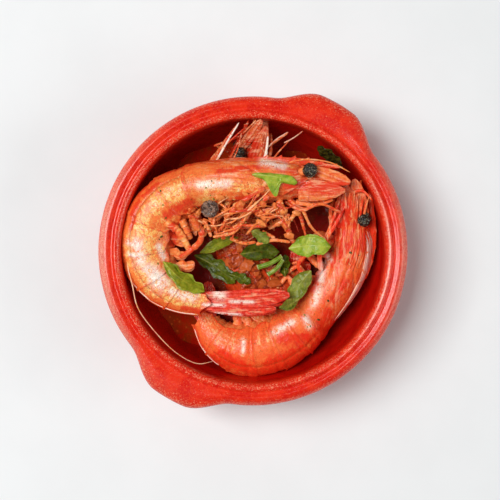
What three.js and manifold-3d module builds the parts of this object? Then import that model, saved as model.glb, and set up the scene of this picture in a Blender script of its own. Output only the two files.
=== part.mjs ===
// Bowl of grilled prawns: a small glazed earthenware dish with two lugs. Three whole prawns lie
// curled in it, one across the other two, with torn parsley, two cut stalks and a peppercorn on top.
// Millimetres, +Z up. The origin is the middle of the foot that the bowl stands on.
import * as THREE from "three";
import { mergeVertices } from "three/addons/utils/BufferGeometryUtils.js";
import Module from "manifold-3d";

const wasm = await Module();
wasm.setup();

// Driving sizes of the bowl
const RIM_RADIUS = 62.5;
const RIM_HEIGHT = 37.5;
const MOUTH_RADIUS = 53.2;
const FOOT_RADIUS = 42;
const FLOOR_THICKNESS = 6;
const LUG_REACH = 6.6;
const LUG_DIRECTIONS = [60, 240];
const LUG_HALF_ANGLE = 22;
const BOWL_SIDES = 48;

// Gap between pieces that touch, the thickness of a leaf, and the slivers of a cut that are merged
const TOUCH_GAP = 0.3;
const LEAF_THICKNESS = 0.9;
const SLIVER = 0.02;

const GLAZE = new THREE.MeshStandardMaterial({ color: 0xc9200f, roughness: 0.3 });
const SHELL = new THREE.MeshStandardMaterial({ color: 0xe8622e, roughness: 0.35 });
const PARSLEY = new THREE.MeshStandardMaterial({ color: 0x4c7a14, roughness: 0.55 });
const STALK = new THREE.MeshStandardMaterial({ color: 0x86a02a, roughness: 0.5 });
const CHARRED = new THREE.MeshStandardMaterial({ color: 0x241a12, roughness: 0.5 });

const UP = new THREE.Vector3(0, 0, 1);
const radians = THREE.MathUtils.degToRad;
const smooth = THREE.MathUtils.smoothstep;

// Reads a list of [place, value] knots at a place, in straight lines between them.
function valueAt(knots, place) {
  let upper = knots.findIndex(([at]) => at >= place);
  if (upper < 0) upper = knots.length - 1;
  if (upper === 0) return knots[0][1];
  const [a, from] = knots[upper - 1];
  const [b, to] = knots[upper];
  return from + ((to - from) * THREE.MathUtils.clamp(place - a, 0, b - a)) / (b - a);
}

// Solids and meshes
function solidOf(geometry) {
  const bare = new THREE.BufferGeometry();
  bare.setAttribute("position", geometry.getAttribute("position"));
  bare.setIndex(geometry.index);
  const merged = mergeVertices(bare, 1e-4);
  const solid = new wasm.Manifold(
    new wasm.Mesh({
      numProp: 3,
      vertProperties: merged.attributes.position.array,
      triVerts: new Uint32Array(merged.index.array),
    }),
  );
  return solid;
}

function geometryOf(solid) {
  const mesh = solid.getMesh();
  const positions = new Float32Array(mesh.numVert * 3);
  for (let i = 0; i < mesh.numVert; i += 1) {
    const start = i * mesh.numProp;
    positions.set(mesh.vertProperties.subarray(start, start + 3), i * 3);
  }
  const geometry = new THREE.BufferGeometry();
  geometry.setAttribute("position", new THREE.BufferAttribute(positions, 3));
  geometry.setIndex(new THREE.BufferAttribute(new Uint32Array(mesh.triVerts), 1));
  geometry.computeVertexNormals();
  return geometry;
}

const joined = (solids) => solids.reduce((whole, piece) => whole.add(piece));

// The largest body of a solid, so that a scrap cut loose by a neighbour is dropped, with the
// slivers along the cut merged.
function largestBody(solid) {
  const bodies = solid.decompose();
  return bodies.reduce((best, body) => (body.volume() > best.volume() ? body : best)).simplify(SLIVER);
}

// A closed geometry as a solid, with its faces turned over where they point in.
function positive(geometry) {
  const solid = solidOf(geometry);
  if (solid.volume() > 0) return solid;
  const turned = new THREE.BufferGeometry();
  turned.setAttribute("position", geometry.getAttribute("position"));
  const count = turned.attributes.position.count;
  const index = geometry.index ? [...geometry.index.array] : Array.from({ length: count }, (_, i) => i);
  turned.setIndex(index.map((_, i) => index[i - (i % 3) + [0, 2, 1][i % 3]]));
  return solidOf(turned);
}

// A closed rod of rings: place(along, angle, reach) gives each point, along and reach from 0 to 1.
function shapedRod(sides, steps, place) {
  const rod = new THREE.CylinderGeometry(1, 1, 1, sides, steps);
  const at = rod.getAttribute("position");
  for (let i = 0; i < at.count; i += 1) {
    const angle = Math.atan2(at.getX(i), at.getZ(i));
    const reach = Math.hypot(at.getX(i), at.getZ(i));
    const point = place(0.5 - at.getY(i), angle, reach);
    at.setXYZ(i, point.x, point.y, point.z);
  }
  return positive(rod);
}

// Bowl: a turned profile of [radius, height, share of the lug], from the foot up, over and in.
const PROFILE = [
  [0, 0, 0],
  [FOOT_RADIUS - 2, 0, 0],
  [FOOT_RADIUS + 2.5, 1.6, 0],
  [FOOT_RADIUS + 9, 8.5, 0],
  [RIM_RADIUS - 6.5, 16, 0],
  [RIM_RADIUS - 3, 23.5, 0],
  [RIM_RADIUS - 1.6, 28, 0.1],
  [RIM_RADIUS - 0.8, 30, 0.7],
  [RIM_RADIUS, 32.6, 1],
  [RIM_RADIUS - 0.4, 35, 0.95],
  [RIM_RADIUS - 1.8, RIM_HEIGHT - 0.8, 0.8],
  [RIM_RADIUS - 3.4, RIM_HEIGHT - 0.1, 0.5],
  [RIM_RADIUS - 5.7, RIM_HEIGHT - 0.7, 0],
  [RIM_RADIUS - 7, RIM_HEIGHT, 0],
  [MOUTH_RADIUS + 0.5, RIM_HEIGHT - 1, 0],
  [MOUTH_RADIUS, RIM_HEIGHT - 4, 0],
  [MOUTH_RADIUS - 0.3, 25, 0],
  [MOUTH_RADIUS - 2.2, 16.5, 0],
  [MOUTH_RADIUS - 6.5, 10.4, 0],
  [MOUTH_RADIUS - 14, 7, 0],
  [MOUTH_RADIUS - 24, FLOOR_THICKNESS, 0],
  [0, FLOOR_THICKNESS, 0],
];

function lugShare(angle) {
  const apart = LUG_DIRECTIONS.map((lug) =>
    Math.abs(Math.atan2(Math.sin(angle - radians(lug)), Math.cos(angle - radians(lug)))),
  );
  return 1 - smooth(Math.min(...apart) / radians(LUG_HALF_ANGLE), 0.25, 1);
}

// The bowl, or with grow above 0 the space that its neighbours keep out of.
function bowlSolid(grow = 0) {
  const shift = PROFILE.map(([r, z], i) => {
    const [r0, z0] = PROFILE[Math.max(i - 1, 0)];
    const [r1, z1] = PROFILE[Math.min(i + 1, PROFILE.length - 1)];
    const length = Math.hypot(r1 - r0, z1 - z0);
    return [r === 0 ? 0 : r + ((z1 - z0) / length) * grow, z - ((r1 - r0) / length) * grow];
  });
  const points = shift.map(([r, z]) => new THREE.Vector2(r, z));
  const turned = new THREE.LatheGeometry(points, BOWL_SIDES);
  const at = turned.getAttribute("position");
  for (let i = 0; i < at.count; i += 1) {
    const share = PROFILE[i % PROFILE.length][2];
    const angle = Math.atan2(at.getX(i), at.getZ(i));
    const radius = Math.hypot(at.getX(i), at.getZ(i)) + LUG_REACH * share * lugShare(angle);
    at.setXYZ(i, radius * Math.cos(angle), radius * Math.sin(angle), at.getY(i));
  }
  return solidOf(turned);
}

// The prawns. A spine runs from the front of the head plate to the end of the tail fan, along the
// middle of the body. turn is 1 where the back lies on the right of that way, and -1 on the left.
// roll lifts the back, in degrees, at the head and at the tail. girth scales the sections, and plump
// the tail's sections beside them. crestDip lowers the tip of the crest. The legs are those that are
// not pressed flat under the body, and flapReach is how far the swimming legs reach below the spine.
const PRAWNS = {
  prawn_top: {
    spine: [
      [20.1, 28, 35],
      [4.8, 27.8, 35],
      [-10.1, 27.4, 34.2],
      [-24.2, 24.7, 32.4],
      [-35.4, 18.3, 30.6],
      [-41.7, 8, 29],
      [-41.7, -2.5, 28.4],
      [-36.5, -12, 28.6],
      [-27.6, -18.2, 29.4],
      [-16.4, -20.8, 30],
      [-1.2, -21.2, 30],
      [15.9, -20, 29.6],
    ],
    turn: 1,
    roll: [10, 14],
    girth: 1,
    plump: 1,
    carapace: 44,
    tail: 66,
    fan: 36,
    crestDip: 0.4,
    legSides: [-1, 1],
    legCount: 5,
    flapReach: 17,
    sticks: [
      { points: [[14, 21, 35], [20.1, 16.9, 35.5], [26.9, 18.9, 36.5], [35, 15.3, 35]], from: 1.5, to: 0.8 },
      { points: [[15, 21, 34], [20.5, 16, 34.5], [22.9, 10.4, 32.5], [28.9, 4.4, 30]], from: 1.4, to: 0.6 },
      { points: [[13, 20, 33], [18.9, 15.5, 33], [20.5, 10.4, 32], [21.7, 4.6, 30]], from: 1.6, to: 0.6 },
      { points: [[4.5, 25, 42.4], [-7.1, 17.4, 42], [-13, 8.7, 37]], from: 1.1, to: 0.7 },
      { points: [[6, 22, 41], [-2, 14.6, 39.5], [-6.3, 9.1, 36], [-14.6, 5.9, 33]], from: 1.2, to: 0.8 },
      { points: [[-8, 18, 33], [-4.3, 10.8, 33], [5.6, 10.4, 33]], from: 1.6, to: 1 },
      { points: [[-49, 2, 30], [-50.6, -5, 33], [-48.6, -14, 34], [-46.6, -22.6, 33.6], [-41, -31, 32.6],
        [-31, -41.4, 31], [-22.6, -46, 28], [-16.6, -45.4, 25]], from: 0.6, to: 0.45 },
      { points: [[10, 34, 36.6], [20, 36.6, 37.4], [31, 35.4, 37], [39, 31.6, 36]], from: 0.7, to: 0.4 },
    ],
  },
  prawn_right: {
    spine: [
      [41.2, 12, 24],
      [40.8, 3, 21.6],
      [38.4, -6, 19.6],
      [33.8, -14, 18.4],
      [27.8, -21.6, 17.8],
      [20.2, -29.8, 17.6],
      [9.4, -37, 17.8],
      [-3.6, -39.4, 18],
      [-14.2, -35.2, 17],
      [-19.6, -26.8, 15.4],
      [-20.8, -17.4, 13.6],
      [-19.2, -7.6, 12.4],
    ],
    turn: -1,
    roll: [10, 8],
    girth: 1,
    plump: 1.1,
    carapace: 45,
    tail: 50,
    fan: 17,
    crestDip: 0,
    legSides: [-1, 1],
    legCount: 5,
    flapReach: 17,
    sticks: [
      { points: [[38, 17, 27], [40.2, 23.2, 32], [44, 24.2, 34], [48, 20.4, 35.4]], from: 1, to: 0.5 },
      { points: [[24, -13, 23], [18.6, -5.6, 26], [28.6, 4.4, 28.6], [35, 19.6, 31.4]], from: 1.4, to: 0.7 },
      { points: [[28, -8, 24], [27.4, -0.6, 27.6], [33.6, 11, 30], [38, 19, 31]], from: 1.6, to: 0.9 },
    ],
  },
  prawn_back: {
    spine: [
      [-2, 38.2, 24.6],
      [-5.3, 27.6, 19.6],
      [-7.2, 15.8, 16.4],
      [-7.2, 3.8, 15],
      [-4.4, -7.2, 14.6],
      [2.4, -14.4, 14.2],
      [11, -15.6, 13.2],
      [17.8, -10.8, 12.6],
      [20.2, -3.4, 12.2],
      [19.9, 4.8, 12.2],
    ],
    turn: 1,
    roll: [8, 2],
    girth: 0.86,
    plump: 1,
    carapace: 40,
    tail: 38,
    fan: 11,
    crestDip: 0.8,
    legSides: [1],
    legCount: 3,
    flapReach: 11,
    sticks: [
      { points: [[1, 40, 26], [7, 43.2, 29.4], [14.3, 48, 32]], from: 0.8, to: 0.4 },
      { points: [[-8, 40, 26], [-15.4, 43.1, 29]], from: 0.9, to: 0.4 },
    ],
  },
};

// Half sizes of the body over its length: the head plate by millimetres, the tail by its share.
const HEAD_BACK = [[-1, 5], [1, 7], [10, 8.8], [24, 9.6], [46, 10.4]];
const HEAD_BELLY = [[-1, 5], [1, 7.4], [10, 9], [24, 9.8], [46, 10.4]];
const HEAD_WIDTH = [[-1, 4], [1, 6], [10, 7.8], [24, 8.6], [46, 8.4]];
const TAIL_BACK = [[0, 10.2], [0.2, 11.6], [0.4, 12], [0.6, 11.2], [0.75, 9.6], [0.88, 7.4], [1, 5.6]];
const TAIL_BELLY = [[0, 10], [0.2, 11.8], [0.4, 12.2], [0.6, 11], [0.75, 9], [0.88, 6.6], [1, 5]];
const TAIL_WIDTH = [[0, 8.2], [0.25, 8.2], [0.5, 7.6], [0.75, 6.4], [0.9, 5], [1, 4]];
const PLATE_ENDS = [0, 0.15, 0.33, 0.51, 0.67, 0.81, 1];
const BODY_SIDES = 12;
const LIMB_SIDES = 4;

// A body's own frame along its spine: at(along, back, side) is a point in the part's frame.
function bodyFrame({ spine, turn, roll }) {
  const curve = new THREE.CatmullRomCurve3(spine.map((point) => new THREE.Vector3(...point)));
  curve.arcLengthDivisions = 400;
  const length = curve.getLength();
  const at = (along, back, side) => {
    const share = THREE.MathUtils.clamp(along / length, 0, 1);
    const middle = curve.getPointAt(share);
    const forward = curve.getTangentAt(share);
    middle.addScaledVector(forward, along - share * length);
    const level = new THREE.Vector3().crossVectors(forward, UP).normalize().multiplyScalar(turn);
    const upward = new THREE.Vector3().crossVectors(level, forward).multiplyScalar(turn);
    const lift = radians(THREE.MathUtils.lerp(roll[0], roll[1], share));
    return middle
      .addScaledVector(level, back * Math.cos(lift) - side * Math.sin(lift))
      .addScaledVector(upward, back * Math.sin(lift) + side * Math.cos(lift));
  };
  return { at, length };
}

// Rings of the body from the front of the head plate to the end of the tail, as half sizes. Each
// tail plate flares to its rear edge, steps in to the next, and hangs lowest at its middle.
function bodyRings({ girth, plump, carapace, tail }) {
  const head = [0, 0.05, 0.14, 0.28, 0.48, 0.74, 1.02].map((share) => {
    const along = share * carapace - 1;
    const sizes = [HEAD_BACK, HEAD_BELLY, HEAD_WIDTH].map((knots) => girth * valueAt(knots, along));
    return [along, ...sizes];
  });
  const plates = PLATE_ENDS.slice(1).flatMap((end, i) => {
    const from = carapace + tail * PLATE_ENDS[i] + 1;
    const to = carapace + tail * end + 0.5;
    return [0, 0.5, 1].map((share) => {
      const along = THREE.MathUtils.lerp(from, to, share);
      const place = (along - carapace) / tail;
      const flare = girth * plump * (0.93 + 0.09 * share);
      const lobe = [0.88, 1.02, 0.94][share * 2];
      const [back, belly, width] = [TAIL_BACK, TAIL_BELLY, TAIL_WIDTH].map((knots) => valueAt(knots, place));
      return [along, flare * back, flare * lobe * belly, flare * width];
    });
  });
  return [...head, ...plates];
}

function bodySolid(frame, prawn, grow) {
  const rings = bodyRings(prawn);
  return shapedRod(BODY_SIDES, rings.length - 1, (share, angle, reach) => {
    const [along, back, belly, width] = rings[Math.round(share * (rings.length - 1))];
    const end = (share === 0 ? -grow : 0) + (share === 1 ? grow : 0);
    const rise = Math.cos(angle);
    const narrowing = 1 - 0.3 * Math.max(0, -rise) ** 2;
    return frame.at(
      along + end,
      reach * rise * ((rise > 0 ? back : belly) + grow),
      reach * Math.sin(angle) * (width * narrowing + grow),
    );
  });
}

// A thin limb, feeler or stalk through points, with its radius at each of them.
function limb(points, radii, grow, steps = points.length, sides = LIMB_SIDES) {
  const curve = new THREE.CatmullRomCurve3(points);
  const knots = radii.map((radius, i) => [i / (radii.length - 1), radius]);
  return shapedRod(sides, steps, (share, angle, reach) => {
    const middle = curve.getPointAt(share);
    const forward = curve.getTangentAt(share);
    const guide = Math.abs(forward.z) > 0.9 ? new THREE.Vector3(1, 0, 0) : UP;
    const level = new THREE.Vector3().crossVectors(forward, guide).normalize();
    const upward = new THREE.Vector3().crossVectors(level, forward);
    const radius = reach * (valueAt(knots, share) + grow);
    const end = (share === 0 ? -grow : 0) + (share === 1 ? grow : 0);
    return middle
      .addScaledVector(forward, end)
      .addScaledVector(level, radius * Math.sin(angle))
      .addScaledVector(upward, radius * Math.cos(angle));
  });
}

// A flat blade between two places of the body, as [along, back, side], wide along the back.
function blade(frame, from, to, width, thickness, grow) {
  const slope = Math.atan2(to[1] - from[1], to[0] - from[0]);
  const outline = [[0, 0.55], [0.4, 1], [0.8, 0.9], [1, 0.25]];
  return shapedRod(LIMB_SIDES, 5, (share, angle, reach) => {
    const half = reach * (0.5 * width * valueAt(outline, share) + grow) * Math.cos(angle);
    const flat = reach * (0.5 * thickness + grow) * Math.sin(angle);
    const [along, back, side] = from.map((start, i) => THREE.MathUtils.lerp(start, to[i], share));
    return frame.at(along - half * Math.sin(slope), back + half * Math.cos(slope), side + flat);
  });
}

// The head plate's toothed crest, which runs out over the eyes
const CREST = { from: -16, to: 20, height: 2.6, thickness: 1.5, teeth: 6 };

function crest(frame, prawn, grow) {
  const outline = new THREE.Shape();
  const length = CREST.to - CREST.from;
  const top = (share) => {
    const behind = valueAt([[0, 6], [0.45, 9], [1, 10.2]], share) * prawn.girth;
    return behind - prawn.crestDip * (1 - share) ** 1.4 + 0.6 * Math.sin(Math.PI * share);
  };
  const below = (share) => top(share) - CREST.height - grow;
  outline.moveTo(CREST.from - grow, top(0));
  for (let i = 1; i <= CREST.teeth; i += 1) {
    const share = (i - 0.3) / (CREST.teeth + 0.5);
    outline.lineTo(CREST.from + share * length - 1.4, top(share) + 0.9 + grow);
    outline.lineTo(CREST.from + share * length, top(share) + grow);
  }
  outline.lineTo(CREST.to, top(1) - 1.6);
  outline.lineTo(CREST.from + 0.7 * length, below(0.7) - 1);
  outline.lineTo(CREST.from + 0.35 * length, below(0.35));
  const plate = new THREE.ExtrudeGeometry(outline, {
    depth: CREST.thickness + 2 * grow,
    bevelEnabled: false,
  });
  const at = plate.getAttribute("position");
  for (let i = 0; i < at.count; i += 1) {
    const point = frame.at(at.getX(i), at.getY(i), at.getZ(i) - CREST.thickness / 2 - grow);
    at.setXYZ(i, point.x, point.y, point.z);
  }
  return positive(plate);
}

function eye(frame, prawn, side, grow) {
  const radius = 2.7 * prawn.girth + grow;
  const ball = new THREE.SphereGeometry(radius, 8, 6);
  const middle = frame.at(-2.6, 5 * prawn.girth, side * 5.4 * prawn.girth);
  ball.translate(middle.x, middle.y, middle.z);
  const stalk = limb(
    [frame.at(2, 4 * prawn.girth, side * 3), frame.at(-2, 4.8 * prawn.girth, side * 5 * prawn.girth)],
    [1.4, 1.2],
    grow,
    1,
  );
  return solidOf(ball).add(stalk);
}

// Tail fan: four blades folded flat on both sides of a narrow middle spike.
function tailFan(frame, prawn, grow) {
  const start = prawn.carapace + prawn.tail - 2;
  const end = start + prawn.fan + 2;
  const wide = 7.6 * prawn.girth;
  const blades = [-1, 1].flatMap((side) => [
    blade(frame, [start, -1, side * 2], [end, -1.6, side * 2.4], wide, 1.4, grow),
    blade(frame, [start, 1.6, side * 1.2], [end - 6, 3.4, side * 1.6], wide * 0.7, 1.4, grow),
  ]);
  const spike = limb(
    [frame.at(start, 0, 0), frame.at(end - 9, 1, 0), frame.at(end - 3, 1.4, 0)],
    [3 * prawn.girth, 2, 0.6],
    grow,
    3,
  );
  return [...blades, spike];
}

// Scales, feeler stems and jaw legs in front of the head, as [along, back, side] from the head's front.
function mouthParts(frame, prawn, grow) {
  const g = prawn.girth;
  const parts = [];
  for (const side of [-1, 1]) {
    parts.push(blade(frame, [2, -3 * g, side * 4.6 * g], [-17, -3.4 * g, side * 4.4], 8.4 * g, 1.5, grow));
    const lower = [frame.at(2, -5.5 * g, side * 3.4), frame.at(-9, -6 * g, side * 3.6)];
    const upper = [frame.at(2, 1 * g, side * 1.8), frame.at(-12, 1.4 * g, side * 1.9)];
    parts.push(limb(lower, [2.2 * g, 1.5 * g], grow, 1), limb(upper, [1.7 * g, 1.1 * g], grow, 1));
  }
  parts.push(blade(frame, [-3, 5.6 * g, 3.4], [-19, -0.5 * g, 3.8], 5 * g, 1.4, grow));
  return parts;
}

// Walking legs in pairs under the head plate: hip, knee and foot, folded back under the body.
const LEG_PLACES = [10, 17, 24, 31, 37];

function walkingLegs(frame, prawn, grow) {
  const g = prawn.girth;
  return LEG_PLACES.slice(0, prawn.legCount).flatMap((place, i) =>
    prawn.legSides.map((side) =>
      limb(
        [
          frame.at(place, -7 * g, side * 3.4),
          frame.at(place - 3 + i, (-14.5 - i * 0.6) * g, side * 4.4),
          frame.at(place + 4 + i * 2, (-19 - (i % 2) * 2) * g, side * (2.6 + (i % 3))),
        ],
        [1.5 * g, 1.1 * g, 0.6],
        grow,
        3,
      ),
    ),
  );
}

// Swimming legs: a plump flap under each of the first five tail plates, laid back.
function swimmingLegs(frame, prawn, grow) {
  const g = prawn.girth;
  return PLATE_ENDS.slice(0, 5).map((share, i) => {
    const along = prawn.carapace + prawn.tail * (share + 0.07);
    return blade(frame, [along - 1, -7 * g, 1], [along + 7, i - prawn.flapReach, 2.4], 5.6 * g, 4, grow);
  });
}

// Loose limbs and feelers of one prawn, each through its own points.
function loosePieces(prawn, grow) {
  return prawn.sticks.map(({ points, from, to }) =>
    limb(
      points.map((point) => new THREE.Vector3(...point)),
      [from, to],
      grow,
      points.length + 1,
    ),
  );
}

function prawnSolid(prawn, grow = 0) {
  const frame = bodyFrame(prawn);
  return joined([
    bodySolid(frame, prawn, grow),
    crest(frame, prawn, grow),
    ...[-1, 1].map((side) => eye(frame, prawn, side, grow)),
    ...tailFan(frame, prawn, grow),
    ...mouthParts(frame, prawn, grow),
    ...walkingLegs(frame, prawn, grow),
    ...swimmingLegs(frame, prawn, grow),
    ...loosePieces(prawn, grow),
  ]);
}

// Parsley: torn leaves that lie where they fell. root and tip are the ends of the middle line, seen
// from above, width is the widest place, and lobes give the half widths on both sides along it.
const LOBED = [
  [0, 0.12, 0.12],
  [0.2, 0.8, 0.6],
  [0.36, 0.45, 0.5],
  [0.55, 1, 0.9],
  [0.72, 0.5, 0.55],
  [0.86, 0.7, 0.6],
  [1, 0.08, 0.08],
];
const BRANCHED = [
  [0, 0.2, 0.2],
  [0.25, 0.35, 0.5],
  [0.37, 0.45, 2.4],
  [0.5, 0.4, 2.7],
  [0.63, 0.5, 0.5],
  [0.87, 0.6, 0.5],
  [1, 0.1, 0.4],
];
const LANCE = [
  [0, 0.1, 0.1],
  [0.25, 0.8, 0.75],
  [0.5, 1, 0.95],
  [0.75, 0.85, 0.6],
  [1, 0.08, 0.08],
];
const BROAD = [
  [0, 0.15, 0.15],
  [0.16, 0.8, 0.7],
  [0.4, 0.9, 1],
  [0.55, 1, 0.75],
  [0.8, 0.75, 0.8],
  [1, 0.12, 0.1],
];
const LEAF_ROWS = 8;
const LEAF_COLUMNS = 2;
const leaf = (root, tip, width, lobes, bend, drape) => ({ root, tip, width, lobes, bend, drape });
const LEAVES = {
  leaf_on_shell: leaf([-0.4, 30.2], [17.4, 27.2], 5.2, BRANCHED, 0.6, 0.85),
  leaf_on_tail: leaf([-36, -4.2], [-19.6, -16.4], 6.6, LOBED, -1.6, 0.8),
  leaf_by_legs: leaf([-6, 5.6], [-21.6, -0.8], 4.4, LANCE, -0.8, 0.35),
  leaf_in_gap: leaf([-24.4, -1.8], [-7.4, -13.2], 6, LOBED, 1, 0.35),
  leaf_in_middle: leaf([-5.2, -1.4], [10.9, -0.4], 6.8, BROAD, 0.8, 0.4),
  leaf_small_dark: leaf([-9.6, -9.6], [-0.8, -13.2], 4.6, LOBED, 0.3, 0.4),
  leaf_large_bright: leaf([14.6, 1], [31.4, 1.6], 8.2, BROAD, 0.9, 0.5),
  leaf_olive: leaf([23.6, -8], [15.2, -20.6], 7, BROAD, -0.6, 0.7),
  leaf_below_olive: leaf([18.8, -19.4], [10.8, -23.2], 4.2, LANCE, 0.3, 0.6),
  leaf_grey_green: leaf([-0.6, 8.2], [6.4, 3.4], 5, LOBED, 0.2, 0.4),
  leaf_under_stalks: leaf([13.4, -10.6], [13.6, -1.6], 5, LOBED, 0.4, 0.4),
};
const STALKS = {
  stalk_across: { root: [1.6, -7], tip: [12.2, -2.2], radius: 1.1 },
  stalk_beside: { root: [6, -10], tip: [12.6, -3.6], radius: 0.95 },
};
const WALL_LEAF = { from: 58, to: 43, low: [48.4, 23.5], high: [51.9, 31.5] };
const PEPPERCORN = { middle: [-17.2, 16.8], radius: 3.5, dents: 0.35 };

// Heights of what lies below, read straight down.
function heightReader(solid) {
  const below = new THREE.Mesh(geometryOf(solid), new THREE.MeshBasicMaterial({ side: THREE.DoubleSide }));
  below.geometry.computeBoundingSphere();
  const ray = new THREE.Raycaster();
  const down = new THREE.Vector3(0, 0, -1);
  return (x, y) => {
    ray.set(new THREE.Vector3(x, y, 100), down);
    const [hit] = ray.intersectObject(below);
    return hit ? hit.point.z : 0;
  };
}

// A thin closed sheet over a grid: point(row, column) is its middle, and both faces split alike.
function sheetSolid(rows, columns, thickness, point) {
  const upper = new THREE.PlaneGeometry(1, 1, rows, columns);
  const flat = upper.getAttribute("position");
  const count = flat.count;
  const position = new Float32Array(count * 6);
  for (let i = 0; i < count; i += 1) {
    const middle = point(flat.getX(i) + 0.5, flat.getY(i) * 2);
    position.set([middle.x, middle.y, middle.z + thickness / 2], i * 3);
    position.set([middle.x, middle.y, middle.z - thickness / 2], (count + i) * 3);
  }
  const index = [...upper.index.array];
  for (let i = 0; i < upper.index.count; i += 3) {
    const [a, b, c] = index.slice(i, i + 3);
    index.push(count + a, count + c, count + b);
  }
  const rim = [];
  for (let i = 0; i < rows; i += 1) rim.push(i);
  for (let j = 0; j < columns; j += 1) rim.push(j * (rows + 1) + rows);
  for (let i = rows; i > 0; i -= 1) rim.push(columns * (rows + 1) + i);
  for (let j = columns; j > 0; j -= 1) rim.push(j * (rows + 1));
  rim.forEach((a, k) => {
    const b = rim[(k + 1) % rim.length];
    index.push(a, b, count + a, b, count + b, count + a);
  });
  const sheet = new THREE.BufferGeometry();
  sheet.setAttribute("position", new THREE.BufferAttribute(position, 3));
  sheet.setIndex(index);
  return positive(sheet);
}

// Places of a leaf's grid seen from above: along the middle line, and across it.
function leafPlace({ root, tip, width, lobes, bend }, along, across, grow) {
  const [dx, dy] = [tip[0] - root[0], tip[1] - root[1]];
  const length = Math.hypot(dx, dy);
  const side = across > 0 ? 1 : 2;
  const share = valueAt(lobes.map((lobe) => [lobe[0], lobe[side]]), along);
  const off = bend * Math.sin(Math.PI * along) + across * ((width / 2) * share + grow);
  const run = along * length + (along - 0.5) * 2 * grow;
  return [root[0] + (dx * run - dy * off) / length, root[1] + (dy * run + dx * off) / length];
}

// The leaf's own height field: a plane through what lies below, bent part of the way down to it.
function leafHeights(leaf, heightAt) {
  const spots = [];
  for (let i = 0; i <= LEAF_ROWS; i += 1) {
    for (let j = -2; j <= 2; j += 1) spots.push(leafPlace(leaf, i / LEAF_ROWS, j / 2, 0));
  }
  const found = spots.map(([x, y]) => heightAt(x, y));
  const top = Math.max(...found);
  const heights = found.map((z) => Math.max(z, top - 5));
  const middle = [0, 1].map((axis) => spots.reduce((sum, spot) => sum + spot[axis], 0) / spots.length);
  const level = heights.reduce((sum, z) => sum + z, 0) / heights.length;
  const sums = spots.reduce(
    ([xx, xy, yy, xz, yz], [x, y], i) => {
      const [u, v, w] = [x - middle[0], y - middle[1], heights[i] - level];
      return [xx + u * u, xy + u * v, yy + v * v, xz + u * w, yz + v * w];
    },
    [0, 0, 0, 0, 0],
  );
  const [xx, xy, yy, xz, yz] = sums;
  const share = xx * yy - xy * xy;
  const slope = [(xz * yy - yz * xy) / share, (yz * xx - xz * xy) / share];
  const height = (along, across) => {
    const [x, y] = leafPlace(leaf, along, across, 0);
    const plane = level + slope[0] * (x - middle[0]) + slope[1] * (y - middle[1]);
    let near = 0;
    for (const [u, v] of [[0, 0], [1.2, 0], [-1.2, 0], [0, 1.2], [0, -1.2]]) {
      near += Math.max(heightAt(x + u, y + v), top - 5) / 5;
    }
    const ripple = 0.35 * Math.sin(7 * along + 2 * across) - 0.5 * across * across;
    return plane + leaf.drape * (near - plane) + ripple;
  };
  const kept = new Map();
  return (along, across) => {
    const key = `${along.toFixed(4)} ${across.toFixed(4)}`;
    if (!kept.has(key)) kept.set(key, height(along, across));
    return kept.get(key);
  };
}

function leafSolid(leaf, heights, lift, grow) {
  return sheetSolid(LEAF_ROWS, LEAF_COLUMNS, LEAF_THICKNESS + 2 * grow, (along, across) => {
    const [x, y] = leafPlace(leaf, along, across, grow);
    return new THREE.Vector3(x, y, heights(along, across) + lift);
  });
}

// The lowest lift, in steps, at which a piece made by make(lift) clears the pieces below.
function restingLift(make, below, start) {
  let lift = start;
  while (make(lift).intersect(below).volume() > 0) lift += 0.25;
  return lift;
}

function stalkSolid({ root, tip, radius }, heightAt, lift, grow) {
  const ends = [root, [(root[0] + tip[0]) / 2 + 0.5, (root[1] + tip[1]) / 2 - 0.4], tip];
  const highest = Math.max(...ends.map(([x, y]) => heightAt(x, y)));
  const points = ends.map(([x, y], i) => new THREE.Vector3(x, y, highest + lift + 0.5 * Math.sin(2 * i)));
  return limb(points, [radius, radius * 0.9], grow, 4, 6);
}

function peppercornSolid(height, grow) {
  const ball = new THREE.SphereGeometry(1, 10, 7);
  const at = ball.getAttribute("position");
  for (let i = 0; i < at.count; i += 1) {
    const [x, y, z] = [at.getX(i), at.getY(i), at.getZ(i)];
    const dent = PEPPERCORN.dents * Math.sin(5 * x + 3 * y) * Math.cos(4 * z - 3 * x);
    const radius = PEPPERCORN.radius - Math.abs(dent) + grow;
    at.setXYZ(i, PEPPERCORN.middle[0] + x * radius, PEPPERCORN.middle[1] + y * radius, height + z * radius);
  }
  return solidOf(ball);
}

function wallLeafSolid({ from, to, low, high }, grow) {
  return sheetSolid(6, 2, LEAF_THICKNESS + 2 * grow, (along, across) => {
    const angle = radians(THREE.MathUtils.lerp(from, to, along));
    const full = Math.sin(Math.PI * (0.08 + 0.84 * along)) ** 0.7;
    const rise = 0.5 + 0.5 * across * full;
    const radius = THREE.MathUtils.lerp(low[0], high[0], rise) - 0.5 * Math.abs(Math.sin(9 * along));
    const height = THREE.MathUtils.lerp(low[1], high[1], rise) + 0.6 * Math.sin(8 * along);
    return new THREE.Vector3(radius * Math.cos(angle), radius * Math.sin(angle), height);
  });
}

const bowl = bowlSolid();
const solids = { bowl };
let taken = bowlSolid(TOUCH_GAP);
for (const [name, prawn] of Object.entries(PRAWNS)) {
  solids[name] = largestBody(prawnSolid(prawn).subtract(taken));
  taken = taken.add(prawnSolid(prawn, TOUCH_GAP));
}

// What lies on top is set down piece by piece, so that each rests on the ones before it.
function setDown(name, make, start) {
  const lift = restingLift((height) => make(height, 0), taken, start);
  solids[name] = make(lift, 0);
  taken = taken.add(make(lift, TOUCH_GAP));
}

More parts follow.
